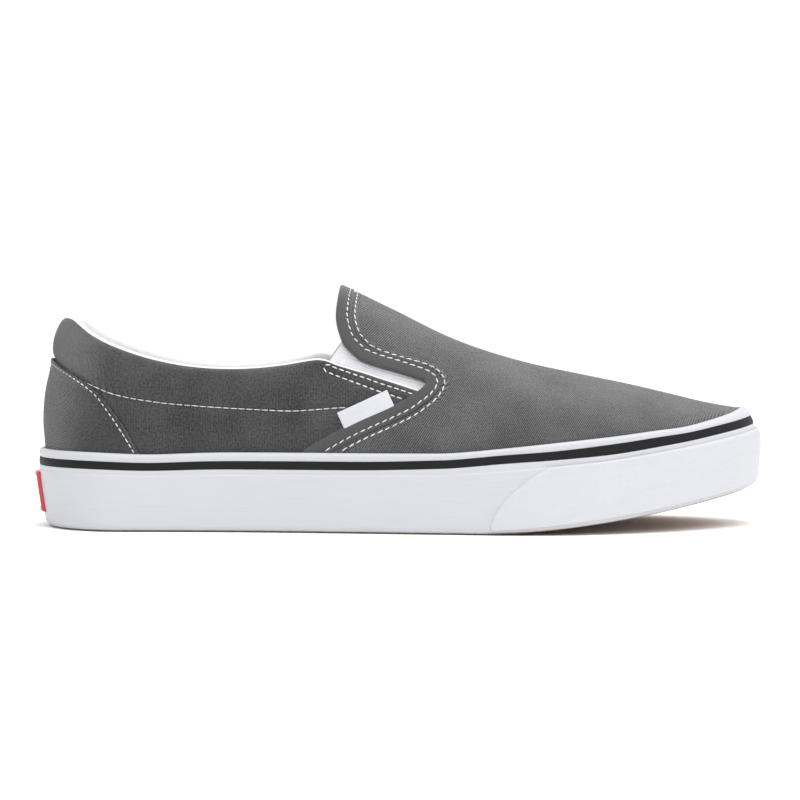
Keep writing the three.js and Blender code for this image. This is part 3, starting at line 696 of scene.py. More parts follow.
def laid_share(x, share):
    """Moves the wall's lip, the stripe and the bead's top to the heights they have at x."""
    foot, head = stripe_foot_of(x / LENGTH), stripe_head_of(x / LENGTH)
    top = 1 + bead_lift_of(x / LENGTH) / BEAD_HEIGHT
    wall = np.where(share < LIP, share, LIP + (share - LIP) * (foot - LIP) / (STRIPE_FOOT - LIP))
    wall = wall - TOE_LIFT * fade(x / LENGTH, 0.60, 0.75) * (1 - fade(share, 0.0, 0.2))
    band = foot + (share - STRIPE_FOOT) * (head - foot) / (STRIPE_HEAD - STRIPE_FOOT)
    bead = head + (share - STRIPE_HEAD) * (top - head) / (1 - STRIPE_HEAD)
    return np.where(share < STRIPE_FOOT, wall, np.where(share < STRIPE_HEAD, band, bead))


def butt_joints(x, angle, share):
    """A hairline dip across the bead and the stripe at each joint."""
    dip = np.zeros(np.broadcast(x, share).shape)
    for along, side, reach in BUTT_JOINTS:
        here = bump_at(x, along * LENGTH, reach) * (np.sin(angle) * side > 0)
        dip = dip + JOINT_DEPTH * here * fade(share, 0.76, 0.80)
    return dip


def profile_ring(name, rows, inner, **words):
    """Outer profile rows [share, inset] carried round the sole, closed by inner rows."""
    angle = ring_angles[:, None]
    x = station(angle, 0.0)
    height = wall_height(x, laid_share(x, rows[None, :, 0]))
    grid = sole_form(angle, height, rows[None, :, 1] + butt_joints(x, angle, rows[None, :, 0]))
    inside = sole_form(angle, wall_height(x, laid_share(x, inner[None, :, 0])), inner[None, :, 1])
    girth = arc_length(sole_form(ring_angles, 12.0, 0.0))
    uv = pair(girth[:, None], np.concatenate([rows[:, 0], inner[:, 0]]) * WALL_TALL)
    return strip(name, np.concatenate([grid, inside], axis=1), uv, ring=True, **words)


# %% The sidewall's ring and the stripe's
WALL_BACK = np.array([[0.80, 2.95], [0.3, 2.95], [0.01, 2.95]])
sidewall = profile_ring("sidewall", spline(WALL_PROFILE, many(84)), WALL_BACK,
                        slot="white_rubber", materials=[white_rubber])
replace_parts(sidewall, "foxing")
STRIPE_PROFILE = np.array([[0.789, 1.5], [0.789, 0.75], [0.795, 0.55], [0.83, 0.42],
                           [0.865, 0.55], [0.872, 0.75], [0.872, 1.5]])
STRIPE_BACK = np.array([[0.85, 1.55], [0.81, 1.55]])
stripe = profile_ring("side_stripe", spline(STRIPE_PROFILE, 19), STRIPE_BACK,
                      slot="dark_rubber", materials=[dark_rubber])
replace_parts(stripe, "foxing_stripe")

# %% [markdown]
# ## Toe bumper and heel patch
# A second strip wraps the toe. Its back edge sweeps down to the floor, its face carries a fine
# diamond hatch, and a rope of small ribs runs under its top edge. The heel carries a small
# red patch with a plain white face inside a raised rim.

# %% Toe bumper
BUMPER_REAR, BUMPER_FULL, BUMPER_HEAD, BUMPER_FOOT = 0.622, 0.70, 0.728, 0.035
BUMPER_PROUD, RIB_PITCH, RIB_HEIGHT = 0.80, 1.6, 0.10


def toe_bumper():
    """Height share = foot + (head - foot) * sqrt(reach); ribs ripple under the top edge."""
    rear = angle_at(BUMPER_REAR, 0.0)
    ease = np.linspace(-1, 1, many(360))
    angle = rear * np.sign(ease) * (1 - (1 - np.abs(ease)) ** 1.35)
    x = station(angle, 0.0)
    reach = np.clip((x / LENGTH - BUMPER_REAR) / (BUMPER_FULL - BUMPER_REAR), 1e-4, 1)
    full_head = laid_share(x, np.full_like(x, BUMPER_HEAD))
    head = BUMPER_FOOT + (full_head - BUMPER_FOOT) * np.sqrt(reach)
    t = np.concatenate([[0, 0.004, 0.012], np.linspace(0.025, 0.975, many(76)), [0.988, 0.996, 1]])
    up = BUMPER_FOOT + (head[:, None] - BUMPER_FOOT) * t
    tall = (head[:, None] - BUMPER_FOOT) * WALL_TALL
    edge = np.minimum(round_over(t * tall, 0.45), round_over((1 - t) * tall, 1.1))
    girth = arc_length(sole_form(angle, 15.0, 0.0))
    ribs = np.sin(2 * PI * (girth[:, None] + (up - head[:, None]) * 40) / RIB_PITCH)
    rope = bump_at((head[:, None] - up) * WALL_TALL, 2.2, 1.2)
    rope = rope * fade(x / LENGTH, 0.74, 0.80)[:, None]
    proud = BUMPER_PROUD * edge + RIB_HEIGHT * ribs * rope
    outer = sole_form(angle[:, None], wall_height(x[:, None], up), -proud)
    back_up = np.stack([head - 0.004, (head + BUMPER_FOOT) / 2,
                        np.full_like(head, BUMPER_FOOT + 0.001)], axis=1)
    back = sole_form(angle[:, None], wall_height(x[:, None], back_up), 0.15)
    uv = pair(girth[:, None], np.concatenate([up, back_up], axis=1) * WALL_TALL)
    grid = np.concatenate([outer, back], axis=1)
    # one column less, for an even number that zips shut at the ends
    grid, uv = np.delete(grid, 5, axis=1), np.delete(uv, 5, axis=1)
    return strip("toe_guard", grid, uv, slot="white_rubber", materials=[bumper_rubber])


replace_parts(toe_bumper(), "toe_bumper")

# %% Heel patch
PATCH_HALF, PATCH_LOW, PATCH_TOP, PATCH_RIM = 11.0, 6.1, 22.3, 2.0
PATCH_THICK, PATCH_SUNK = 1.2, 0.35


def heel_patch():
    """A rounded rectangle on the heel wall: thickness rises at the rim and sinks inside it."""
    turn = PATCH_HALF / (half_of(0) * BALL) * math.sqrt(2 * HEEL_ROUND / LENGTH)
    a, u = np.meshgrid(np.linspace(-1, 1, many(90)), np.linspace(-1, 1, many(70)), indexing="ij")
    half_high = (PATCH_TOP - PATCH_LOW) / 2
    rim = np.minimum((1 - np.abs(a)) * PATCH_HALF, (1 - np.abs(u)) * half_high)
    thick = PATCH_THICK * round_over(rim, 0.7) - PATCH_SUNK * fade(rim, 1.5, 2.1)
    z = PATCH_LOW + half_high * (1 + u)
    angle = PI + turn * a
    grid = there_and_back(sole_form(angle, z, -0.25 - thick), sole_form(angle, z, 0.1))
    front_uv = pair(a * PATCH_HALF, z)
    patch = strip("heel_badge_blank", grid, there_and_back(front_uv, front_uv),
                  slot="patch_rubber", materials=[patch_red, patch_white])
    centres = np.empty(len(patch.data.polygons) * 3, dtype=np.float32)
    patch.data.polygons.foreach_get("center", centres)
    y, height = (centres.reshape(-1, 3)[:, k] * 1000 - SHIFT[k] for k in (1, 2))
    from_middle = np.abs(height - (PATCH_LOW + half_high))
    inside = (np.abs(y) < PATCH_HALF - PATCH_RIM) & (from_middle < half_high - PATCH_RIM)
    patch.data.polygons.foreach_set("material_index", inside.astype(np.int32))
    return patch


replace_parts(heel_patch(), "heel_patch")

# %% [markdown]
# ## Quarters and padded collar
# One U-shaped band of canvas runs from the gore round the heel to the other gore. Its top is
# padded with foam, rolls over softly and comes down inside as a pad. A row of stitches holds
# the pad's lower edge and pulls a dent. The section is a smooth curve through a few rows,
# carried round the heel.

# %% Section of the quarter
QUARTER_FRONT = 0.565
u_angles = u_turn(angle_at(QUARTER_FRONT, RAND), many(350))
u_x = station(u_angles, RAND + OVERLAY)

SECTION_ROWS = np.array([
    # zone height, depth in walls, depth in pads; zones: 1 bead, 2 stitch line, 3 collar's top
    [0.30, 0.0, 0.0], [0.85, 0.0, 0.0], [1.00, 0.0, 0.0], [1.30, 0.0, 0.0], [1.60, 0.0, 0.0],
    [1.86, 0.03, 0.0], [2.00, 0.27, 0.0], [2.13, 0.0, 0.00], [2.32, 0.0, -0.10],
    [2.53, 0.0, -0.11], [2.72, 0.0, -0.01], [2.86, 0.0, 0.12], [2.945, 0.0, 0.26],
    [2.985, 0.0, 0.40], [3.00, 0.0, 0.54], [2.985, 0.0, 0.70], [2.93, 0.0, 0.86],
    [2.82, 0.0, 0.97], [2.60, 0.0, 1.02], [2.35, 0.0, 0.98], [2.12, 0.0, 0.80],
    [1.85, 0.55, 0.30], [1.60, 1.0, 0.05], [1.30, 1.0, 0.0], [0.85, 1.0, 0.0], [0.30, 1.0, 0.0],
])
SECTION_POINTS = many(100)
ROLL_TOP = 0.555  # share of the section where the canvas ends and the lining begins


def zone_height(zone, x):
    """Zone 0 to 1 is the foot to the bead, 1 to 2 up to the stitch line, 2 to 3 the pad."""
    foot, bead = ground(x) + 6.5, bead_top(x)
    stitch, top = pad_stitches(x), collar_edge(x)
    upper = np.where(zone < 2, bead + (stitch - bead) * (zone - 1),
                     stitch + (top - stitch) * (zone - 2))
    return np.where(zone < 1, foot + (bead - foot) * zone, upper)


def quarter_section():
    """Height and depth of the section at each station, as arrays [station, point]."""
    rows = spline(SECTION_ROWS, SECTION_POINTS)
    pad = PAD + (WALL - PAD) * fade(u_x / LENGTH, 0.33, 0.40)
    zone = np.broadcast_to(rows[None, :, 0], (len(u_x), SECTION_POINTS))
    z = zone_height(zone, u_x[:, None])
    depth = rows[None, :, 1] * WALL + rows[None, :, 2] * pad[:, None]
    return z, depth


# %% Creases and stitch lines of the quarter
STRIP_TURN = 0.398  # where the two rows of the front strip join, as a share of the length
COLLAR_PITCH = 3.1
COUNTER_DROP = 2.0  # the counter's folded edge lies this far below the step in the solid


def front_strip_lines():
    """Side view of the stitches of the front strip: two rows under the edge and a round end."""
    along = np.linspace(STRIP_TURN + 0.006, 0.540, 90)
    x = along * LENGTH
    edge = collar_edge(x)
    opening = fade(along, 0.40, 0.47)
    upper_row = np.stack([x, edge - 1.1 - 0.7 * opening], axis=1)
    lower_row = np.stack([x - 0.8, edge - 3.7 - 1.1 * opening], axis=1)
    middle = (upper_row[0] + lower_row[0]) / 2
    radius = np.linalg.norm(upper_row[0] - lower_row[0]) / 2
    start = math.atan2(*(upper_row[0] - middle)[::-1])
    bend = start + np.linspace(0, PI, 14)[1:-1]
    turn = middle + radius * np.stack([np.cos(bend), np.sin(bend)], axis=1)
    return np.concatenate([upper_row[::-1], turn, lower_row])


strip_line = front_strip_lines()
QUARTER_CREASES = [
    # along, height, length, slant in degrees, half width, depth in mm (negative stands proud)
    (0.20, 44.0, 34.0, 4.0, 5.0, 0.22),
    (0.30, 40.0, 26.0, -12.0, 4.0, 0.18),
    (0.10, 66.0, 20.0, -38.0, 4.0, -0.20),
    (0.36, 55.0, 22.0, 24.0, 4.0, 0.22),
    (0.33, 60.0, 24.0, 10.0, 5.0, -0.20),
]


def creases(x, z, rows):
    """Soft troughs: a bell across a slanted line, fading out towards its ends."""
    sink = np.zeros_like(x)
    for along, height, length, slant, reach, depth in rows:
        turn = math.radians(slant)
        dx, dz = x - along * LENGTH, z - height
        lengthwise = dx * math.cos(turn) + dz * math.sin(turn)
        across = -dx * math.sin(turn) + dz * math.cos(turn)
        sink += depth * bump_at(across, 0, reach) * bump_at(lengthwise, 0, length / 2)
    return sink


# %% The quarter's relief
section_z, section_depth = quarter_section()
x_grid = np.broadcast_to(u_x[:, None], section_z.shape)
outside = (np.arange(SECTION_POINTS) < ROLL_TOP * SECTION_POINTS)[None, :]
flat = np.stack([x_grid, section_z], axis=-1).reshape(-1, 2)
to_strip = distance_to(flat, resample(strip_line, 400)).reshape(section_z.shape)
seam_groove = 0.38 * bump_at(to_strip, 0, 0.7)
below_edge = collar_edge(x_grid) - section_z
puff = -0.35 * bump_at(below_edge, 1.3, 1.3) * fade(x_grid / LENGTH, 0.395, 0.41)
pucker_s = arc_length(form(u_angles, 50.0, 0.0))
above_stitches = section_z - pad_stitches(x_grid)
pucker = 0.12 * np.cos(2 * PI * pucker_s / COLLAR_PITCH)[:, None]
pucker = pucker * bump_at(above_stitches, 0, 2.0)
rim_x = np.linspace(0.01, 0.152, 300) * LENGTH
rim_line = pair(rim_x, counter_top(rim_x) - COUNTER_DROP + 0.6)
to_counter = distance_to(flat, rim_line).reshape(section_z.shape)
press = 0.65 * bump_at(to_counter, 0, 1.2)
folds = creases(x_grid, section_z, QUARTER_CREASES)
quarter_depth = section_depth + (seam_groove + puff + pucker + press + folds) * outside
quarter_grid = form(u_angles[:, None], section_z, OVERLAY + quarter_depth)
rise_along = row_lengths(quarter_grid)
strip("quarters", quarter_grid, pair(pucker_s[:, None], rise_along), materials=[quarter_canvas])

# %% [markdown]
# ## White lining of the collar
# Inside, a white cotton lining starts on top of the roll, where it shows as a thin bright
# edge, covers the pad and runs down to the insole. It is a thin skin, half a millimetre
# proud of the pad, following the same section.

# %% Collar lining
LINING = 0.55


def collar_lining():
    """The inner part of the section and the same part moved along its normal."""
    first = int(ROLL_TOP * SECTION_POINTS) - 2
    z, depth = section_z[:, first:], quarter_depth[:, first:]
    dz, dd = np.gradient(z, axis=1), np.gradient(depth, axis=1)
    length = np.hypot(dz, dd) + 1e-9
    rounding = round_over(np.arange(z.shape[1]), 5.0)
    out_z, out_d = z + LINING * rounding * dd / length, depth - LINING * rounding * dz / length
    under_z, under_d = z - 0.15 * dd / length, depth + 0.15 * dz / length
    heights, depths = there_and_back(out_z, under_z), there_and_back(out_d, under_d)
    grid = form(u_angles[:, None], heights, OVERLAY + depths)[::2]
    down = rise_along[:, first:]
    uv = pair(pucker_s[:, None], there_and_back(down, down))[::2]
    strip("collar_lining", grid, uv, slot="lining", materials=[lining_cloth])


collar_lining()

# %% [markdown]
# ## Heel counter
# An outer piece of canvas stiffens the heel. Its edge is folded under, so it ends in a soft
# roll that casts a thin dark line, with one row of stitches just inside it.

# %% Heel counter
COUNTER_FRONT = 0.1500
counter_angles = u_turn(angle_at(COUNTER_FRONT, RAND), many(180))
COUNTER_SECTION = np.array([
    # distance below the edge in mm, inset
    [0.7, 1.15], [0.25, 0.85], [0.0, 0.45], [0.10, 0.08], [0.45, -0.10], [1.6, -0.10],
    [2.6, 0.06], [4.0, 0.0], [8.0, 0.0],
])
COUNTER_CREASES = [(0.06, 48.0, 26.0, 78.0, 5.0, 0.16)]


def counter_piece():
    """The rolled edge follows the counter's line; plain rows below it run down to the sole."""
    x = station(counter_angles, RAND)[:, None]
    top = counter_top(x) - COUNTER_DROP
    near = spline(COUNTER_SECTION, many(40))
    foot = ground(x) + 7.0
    room = np.minimum(1.0, (top - foot) / 12.0)
    rim_z = top - near[None, :, 0] * room
    low_share = np.linspace(0, 1, many(32))[None, 1:]
    low_z = rim_z[:, -1:] + (foot - rim_z[:, -1:]) * low_share
    z = np.concatenate([rim_z, low_z], axis=1)
    rim_inset = np.broadcast_to(near[None, :, 1], rim_z.shape)
    inset = np.concatenate([rim_inset, np.zeros_like(low_z)], axis=1)
    inset = inset + creases(np.broadcast_to(x, z.shape), z, COUNTER_CREASES)
    grid = np.concatenate([form(counter_angles[:, None], z, inset),
                           form(counter_angles[:, None], z[:, [-1, 0]], 1.2)], axis=1)
    grid = np.delete(grid, grid.shape[1] - 5, axis=1)
    s = arc_length(form(counter_angles, 40.0, 0.0))
    strip("heel_counter", grid, pair(s[:, None], grid[..., 2]), materials=[counter_canvas])


counter_piece()

# %% [markdown]
# ## The vamp and its hem
# The vamp is one piece of twill over the front of the foot. Its back seam drops from the
# instep, turns forward round the gore and slants down to the sole. The seam is followed on
# the form itself: points of it are found from the side view, then walked forward over the
# surface, which gives lines at an even distance from the edge for the hem and its stitches.

# %% The seam on the form
SKIRT = 30.0  # millimetres straight down for each unit of turn below the shoulder


def dome(x, turn, inset):
    """Point over the foot: turn 0 at the outer shoulder, PI/2 at the ridge, PI at the inner."""
    fold = np.minimum(turn, PI - turn)
    side = np.where(turn < PI / 2, -1.0, 1.0)
    low, top = shoulder(x, inset), ridge(x, inset)
    over = np.clip(fold, 0, PI / 2)
    full = fullness_of(x / LENGTH)
    up = np.sin(over) ** (2 / full)
    z = low + (top - low) * up + np.minimum(fold, 0) * SKIRT
    return foot_point(x, z, side, up, np.maximum(np.cos(over), 0) ** (2 / full), inset)


def turn_of(x, z):
    """The dome's turn at length x and height z of the outer side."""
    low, top = shoulder(x, 0.0), ridge(x, 0.0)
    up = np.clip((z - low) / (top - low), 0, 1)
    return np.where(z < low, (z - low) / SKIRT, np.arcsin(up ** (fullness_of(x / LENGTH) / 2)))


def seam_path():
    """Side-view heights give the lower part; above it each turn is solved for its own x."""
    z = np.linspace(27.0, 80.0, 400)
    x = vamp_back(z)
    lower = np.stack([x, turn_of(x, z)], axis=1)
    turn = np.linspace(lower[-1, 1], PI / 2, 200)[1:]
    top_x = np.full_like(turn, 122.0)
    for _ in range(30):
        height = dome(top_x, turn, 0.0)[:, 2]
        top_x = vamp_back(height)
    outer = np.concatenate([lower, np.stack([top_x, turn], axis=1)])
    inner = outer[::-1][1:] * [1, -1] + [0, PI]
    both = np.concatenate([outer, inner])
    s = arc_length(dome(both[:, 0], both[:, 1], 0.0))
    at = np.linspace(0, s[-1], many(660))
    return *read_along(both, s, at).T, at


seam_x, seam_turn, seam_s = seam_path()
seam_points = dome(seam_x, seam_turn, 0.0)
print("vamp seam", round(float(seam_s[-1]), 1), "mm long")

# %% Walking away from the seam


def slopes(x, turn, inset):
    """How the dome's point moves per millimetre of x and per unit of turn."""
    step = 1e-3
    return ((dome(x + step, turn, inset) - dome(x - step, turn, inset)) / (2 * step),
            (dome(x, turn + step, inset) - dome(x, turn - step, inset)) / (2 * step))


def blur(values, reach):
    """Running mean over a few neighbours, ends held."""
    kernel = np.ones(2 * reach + 1) / (2 * reach + 1)
    ends = np.repeat(values[:1], reach, 0), np.repeat(values[-1:], reach, 0)
    padded = np.concatenate([ends[0], values, ends[1]])
    return np.stack([np.convolve(column, kernel, "valid") for column in padded.T], axis=1)


def walk_from_seam(distances):
    """Lines at even distances from the seam: short steps straight away from it on the form."""
    x, turn = seam_x.copy(), seam_turn.copy()
    tangent = unit(np.gradient(blur(seam_points, many(8)), axis=0))
    d_x, d_turn = slopes(x, turn, 0.0)
    normal = unit(np.cross(d_x, d_turn))
    normal *= np.sign(dot(normal, dome(x, turn, -1.0) - seam_points))[:, None]
    away = unit(np.cross(tangent, normal))
    away *= np.sign(away[len(x) // 2, 0])
    rows, done = [], 0.0
    for goal in distances:
        while done < goal - 1e-9:
            step = min(0.35, goal - done)
            d_x, d_turn = slopes(x, turn, 0.0)
            a, b, c = dot(d_x, d_x), dot(d_x, d_turn), dot(d_turn, d_turn)
            p, q = dot(d_x, away), dot(d_turn, away)
            det = a * c - b * b + 1e-12
            go_x, go_turn = (c * p - b * q) / det, (a * q - b * p) / det
            length = np.linalg.norm(d_x * go_x[:, None] + d_turn * go_turn[:, None], axis=1)
            x, turn = x + go_x / length * step, turn + go_turn / length * step
            done += step
        rows.append(np.stack([x, turn], axis=1))
    return np.array(rows)


def seam_lines(distances):
    """Lines along the seam at these distances from it, in the order they are given."""
    order = np.argsort(distances)
    lines = np.empty((len(distances), len(seam_x), 2))
    lines[order] = walk_from_seam(np.maximum(distances[order], 0))
    return lines


def along_seam(name, rows, lines, height, every=1, **words):
    """A closed section of rows [distance, height] carried along the seam's lines."""
    grid = dome(lines[..., 0], lines[..., 1], -height).transpose(1, 0, 2)[::every]
    uv = pair(seam_s[:, None], rows[None, :, 0])[::every]
    strip(name, grid, uv, **words)


# %% Hem of the vamp
ROW_ONE, ROW_TWO, VAMP_PITCH = 4.7, 7.9, 3.15
GORE_CORNER = 65.0  # height of the seam's upper run, above the outer gore's corner
HEM_PROFILE = np.array([
    # distance from the edge, height over the form
    [8.2, -1.6], [6.6, -1.1], [6.35, -0.10], [6.15, 0.42], [5.75, 0.58], [5.3, 0.42],
    [4.7, 0.20], [4.1, 0.36], [3.0, 0.46], [1.7, 0.42], [0.75, 0.22], [0.2, -0.30], [0.02, -1.0],
    [0.1, -1.75], [0.6, -2.4], [1.6, -2.8], [4.0, -2.85], [8.5, -2.8], [8.8, -2.0],
])
FOLD_PROFILE = np.array([
    # distance from the edge, height over the form: the ridge the second row is sewn over
    [6.45, -1.5], [6.65, -1.1], [6.90, -0.35], [7.15, 0.12], [7.5, 0.26], [7.9, 0.12],
    [8.4, 0.32], [8.9, 0.22], [9.5, -0.05], [9.9, -0.45], [9.6, -1.0], [8.0, -1.4],
])


LINING_EDGE_PROFILE = np.array([
    [2.2, -2.85], [1.8, -3.0], [1.7, -3.15], [2.2, -3.3], [7.0, -3.35], [12.5, -3.3],
    [12.8, -3.1], [12.5, -2.9], [8.0, -2.8],
])

# %% Sewing the hem


def pinched(line):
    """The second row runs closer to the first along the upper edge of the gore."""
    nearer = walk_from_seam([ROW_TWO - 1.2])[0]
    weight = blur(bump_at(seam_points[:, 2], GORE_CORNER, 4.0)[:, None], many(14))
    return (nearer - line) * weight


def hem_piece():
    """The folded hem's profile, pulled in a little at every stitch of the first row."""
    rows = spline(HEM_PROFILE, many(64))
    pull = 0.10 * np.cos(2 * PI * seam_s / VAMP_PITCH)
    pulled = bump_at(rows[:, 0], ROW_ONE, 0.9) * (rows[:, 1] > -1)
    height = rows[:, 1][:, None] + pull[None] * pulled[:, None]
    along_seam("vamp_hem", rows, seam_lines(rows[:, 0]), height, materials=[hem_canvas])


def fold_piece():
    """The fold's profile carried along the seam, scalloped between stitches on the upper run."""
    rows = spline(FOLD_PROFILE, many(48))
    lines = seam_lines(rows[:, 0])
    lines += pinched(lines[np.argmin(np.abs(rows[:, 0] - ROW_TWO))])[None]
    upper_run = 0.15 + bump_at(seam_points[:, 2], GORE_CORNER, 5.0)
    scallop = 0.30 * np.cos(2 * PI * seam_s / VAMP_PITCH) * upper_run
    height = rows[:, 1][:, None] + scallop[None] * bump_at(rows[:, 0], ROW_TWO + 0.6, 0.7)[:, None]
    along_seam("vamp_fold", rows, lines, height, materials=[vamp_canvas_painted_light])


def lining_edge():
    """The rim of the white lining inside the hem."""
    rows = spline(LINING_EDGE_PROFILE, many(30))
    along_seam("vamp_lining_edge", rows, seam_lines(rows[:, 0]), rows[:, 1][:, None], every=2,
               slot="lining", materials=[lining_cloth])


hem_piece()
fold_piece()
lining_edge()
row_lines = walk_from_seam([ROW_ONE, ROW_TWO])
stitch_rows_on_vamp = row_lines + pinched(row_lines[1]) * np.array([0.0, 1.0])[:, None, None]

# %% Shell of the vamp
VAMP_REAR, VAMP_TUCK = 0.345, 0.10  # its first station, and how far it tucks under the bead
HEM_SINK, SINK_FROM, SINK_TO, SWELL = 0.45, 6.2, 7.6, 0.15
VAMP_CREASES = [
    # along, height, length, slant in degrees, half width, depth in mm (negative stands proud)
    (0.60, 58.0, 34.0, -62.0, 7.0, 0.30),
    (0.655, 52.0, 30.0, -66.0, 6.0, -0.25),
    (0.70, 50.0, 34.0, -70.0, 7.0, 0.25),
    (0.49, 74.0, 26.0, -58.0, 6.0, -0.22),
]


def cut_shell(name, inset, thick, clear, relief, stations, turns, slot, material):
    """A dome skin without the part behind the seam, given its thickness by a solidify."""
    angle = np.linspace(angle_at(VAMP_REAR, RAND + inset), 0.004, stations)
    x, turn = np.broadcast_arrays(station(angle, RAND + inset)[:, None],
                                  np.linspace(-VAMP_TUCK, PI + VAMP_TUCK, turns)[None, :])
    points = dome(x, turn, inset)
    seam = dome(seam_x, seam_turn, inset)[::2]
    away = distance_to(points.reshape(-1, 3), seam).reshape(x.shape)
    behind = points[..., 0] < vamp_back(points[..., 2])
    away = np.where(behind, -away, away)
    if relief:
        sink = HEM_SINK * (1 - fade(away, SINK_FROM, SINK_TO))
        sink = sink - SWELL * bump_at(away, ROW_TWO + 3.2, 1.5)
        sink = sink + creases(points[..., 0], points[..., 2], VAMP_CREASES)
        points = dome(x, turn, inset + sink)
    keep = away > clear
    faces = skin_faces(*x.shape, False, False)
    faces = faces[keep.ravel()[faces].all(axis=1)]
    used, renamed = np.unique(faces, return_inverse=True)
    faces = renamed.reshape(-1, 4)
    across = row_lengths(points)
    across = across - across[:, x.shape[1] // 2][:, None]
    uv = pair(x, across).reshape(-1, 2)[used]
    points = points.reshape(-1, 3)[used]
    outward = dome(x, turn, inset - 1.0).reshape(-1, 3)[used] - points
    a, b, c = (points[faces[:, k]] for k in (0, 1, 2))
    if dot(np.cross(b - a, c - a), outward[faces[:, 0]]).sum() < 0:
        faces = faces[:, ::-1]
    piece = piece_of(name, points, faces, uv, slot=slot, materials=[material])
    solid = piece.modifiers.new("thickness", "SOLIDIFY")
    solid.thickness = thick / 1000
    solid.offset = -1
    return piece


vamp = cut_shell("vamp", 0.0, 1.9, 2.6, True, many(220), many(200), "canvas", vamp_canvas_painted_light)
cut_shell("vamp_lining", 2.95, 0.4, 8.0, False, many(110), many(100), "lining", lining_cloth)
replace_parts(vamp, "upper")

# %% [markdown]
# ## Gores and side tab
# White elastic bridges the notch between the quarter and the vamp. It lies behind both, with
# soft ribs along its length. The tab is a small folded label of bare white tape, caught in
# the slanted seam on the outer side only.

# %% Gores
GORE_INSET, GORE_THICK, RIB_WIDTH = 2.6, 1.1, 1.25
QUARTER_RUN = (0.556, 0.396)  # along the quarter's edge from the gore's point up to its end
VAMP_RUN = (0.612, 0.805)  # up the vamp's seam, as shares of its height


def between(ends, share):
    return ends[0] + (ends[1] - ends[0]) * share


def gore_piece(name, side):
    """A ruled sheet in side view from the quarter's edge to the vamp's, laid on the form."""
    share = np.linspace(0, 1, many(100))[:, None]
    low_x = between(QUARTER_RUN, share) * LENGTH
    low_z = collar_edge(low_x) - 4.0
    seam_height = between(VAMP_RUN, share) * VAMP
    high_x = vamp_back(seam_height) + 5.0
    high_z = seam_height + 3.0
    across = np.linspace(0, 1, many(70))[None, :]
    x, z = between((low_x, high_x), across), between((low_z, high_z), across)
    width = np.hypot(high_x - low_x, high_z - low_z)
    ribs = 0.10 * np.cos(2 * PI * across * width / RIB_WIDTH)
    rim = 0.35 * (1 - np.sqrt(np.clip((1 - share) / 0.02, 0, 1)))
    outer = place(x, side, z, GORE_INSET - ribs + rim)
    inner = place(x, side, z, GORE_INSET + GORE_THICK - rim)
    uv = pair(share * 46.0, z)
    return strip(name, there_and_back(outer, inner), there_and_back(uv, uv),
                 slot="elastic", materials=[elastic_cloth])


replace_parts(gore_piece("outer_gore", -1.0), "gore_lateral")
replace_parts(gore_piece("inner_gore", 1.0), "gore_medial")

# %% Side tab
TAB_FOOT, TAB_HEAD, TAB_WIDTH = 0.433, 0.527, 6.2


def side_tab():
    """A pillow of folded tape: flat in the middle, rounded at its fold and its short ends."""
    foot, head = (np.array([vamp_back(end * VAMP), end * VAMP]) for end in (TAB_FOOT, TAB_HEAD))
    length = np.linalg.norm(head - foot)
    along = (head - foot) / length
    out = np.array([-along[1], along[0]])
    u, w = np.meshgrid(np.linspace(0, 1, many(80)), np.linspace(-0.25, 1, many(40)), indexing="ij")
    spot = foot + (head - foot) * u[..., None] + out * (TAB_WIDTH * w)[..., None]
    edge = np.minimum(np.minimum(u, 1 - u) * length, (1 - w) * TAB_WIDTH)
    lift = 0.45 * round_over(edge, 0.5) + 0.12 * bump_at(w, 0.75, 0.25)
    outer = place(spot[..., 0], -1.0, spot[..., 1], OVERLAY - 0.55 - lift)
    inner = place(spot[..., 0], -1.0, spot[..., 1], OVERLAY - 0.35)
    uv = pair(u * length, w * TAB_WIDTH)
    return strip("bare_tab", there_and_back(outer, inner), there_and_back(uv, uv),
                 slot="lining", materials=[tab_cloth])


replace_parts(side_tab(), "side_tab")

# %% [markdown]
# ## Insole
# A foam insole with a cloth top fills the bottom, slightly dished, its edge rolled down.

# %% Insole
INSOLE_ROWS = np.array([
    # inset from the inside of the upper, height over the bed
    [0.8, 0.3], [0.1, 1.0], [0.0, 2.4], [0.1, 3.8], [0.6, 4.5], [1.6, 4.75], [4.0, 4.4],
    [8.0, 3.8], [13.0, 3.55], [19.0, 3.5], [24.0, 3.5],
])


INSOLE_BED = (13.0, 8.8)  # height of the bed at the heel and under the ball


def bed_height(x):
    return between(INSOLE_BED, fade(x / LENGTH, 0.2, 0.6)) + ground(x)


def insole_piece():
    """Rings of the sole's outline drawn in further and further, closed by a middle strip."""
    rows = spline(INSOLE_ROWS, many(40))
    angle = np.linspace(1e-3, PI - 1e-3, many(180))[:, None]
    inset = RAND + OVERLAY + WALL + 0.35 + rows[None, :, 0]
    x = station(angle, inset)
    height = bed_height(x) + 0.3 + rows[None, :, 1]
    grid = there_and_back(*(form(side * angle, height, inset - RAND) for side in (-1, 1)))
    return strip("insole_cloth", grid, grid[..., :2], slot="lining", materials=[lining_cloth])


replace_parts(insole_piece(), "insole")
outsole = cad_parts["outsole"]
outsole.data.materials.clear()
outsole.data.materials.append(gum_rubber)

# %% [markdown]
# ## Stitching
# White thread shows as short rounded dashes, each sunk at its ends where the needle went
# through. Every row is one joined mesh: a capsule repeated along a path on the surface, all
# at once as arrays.

# %% Stitch rows
CAPSULE_SIDES, CAPSULE_RINGS = 8, 9
# each row's pitch, stitch length and thread width in mm; the vamp's stitches slant a little
VAMP_STITCH, STRIP_STITCH = (VAMP_PITCH, 2.45, 0.52, 0.12), (2.9, 2.2, 0.55)
COLLAR_STITCH, COUNTER_STITCH = (COLLAR_PITCH, 2.85, 0.38), (2.45, 1.9, 0.5)
SIDES = (("outer", -1.0), ("inner", 1.0))


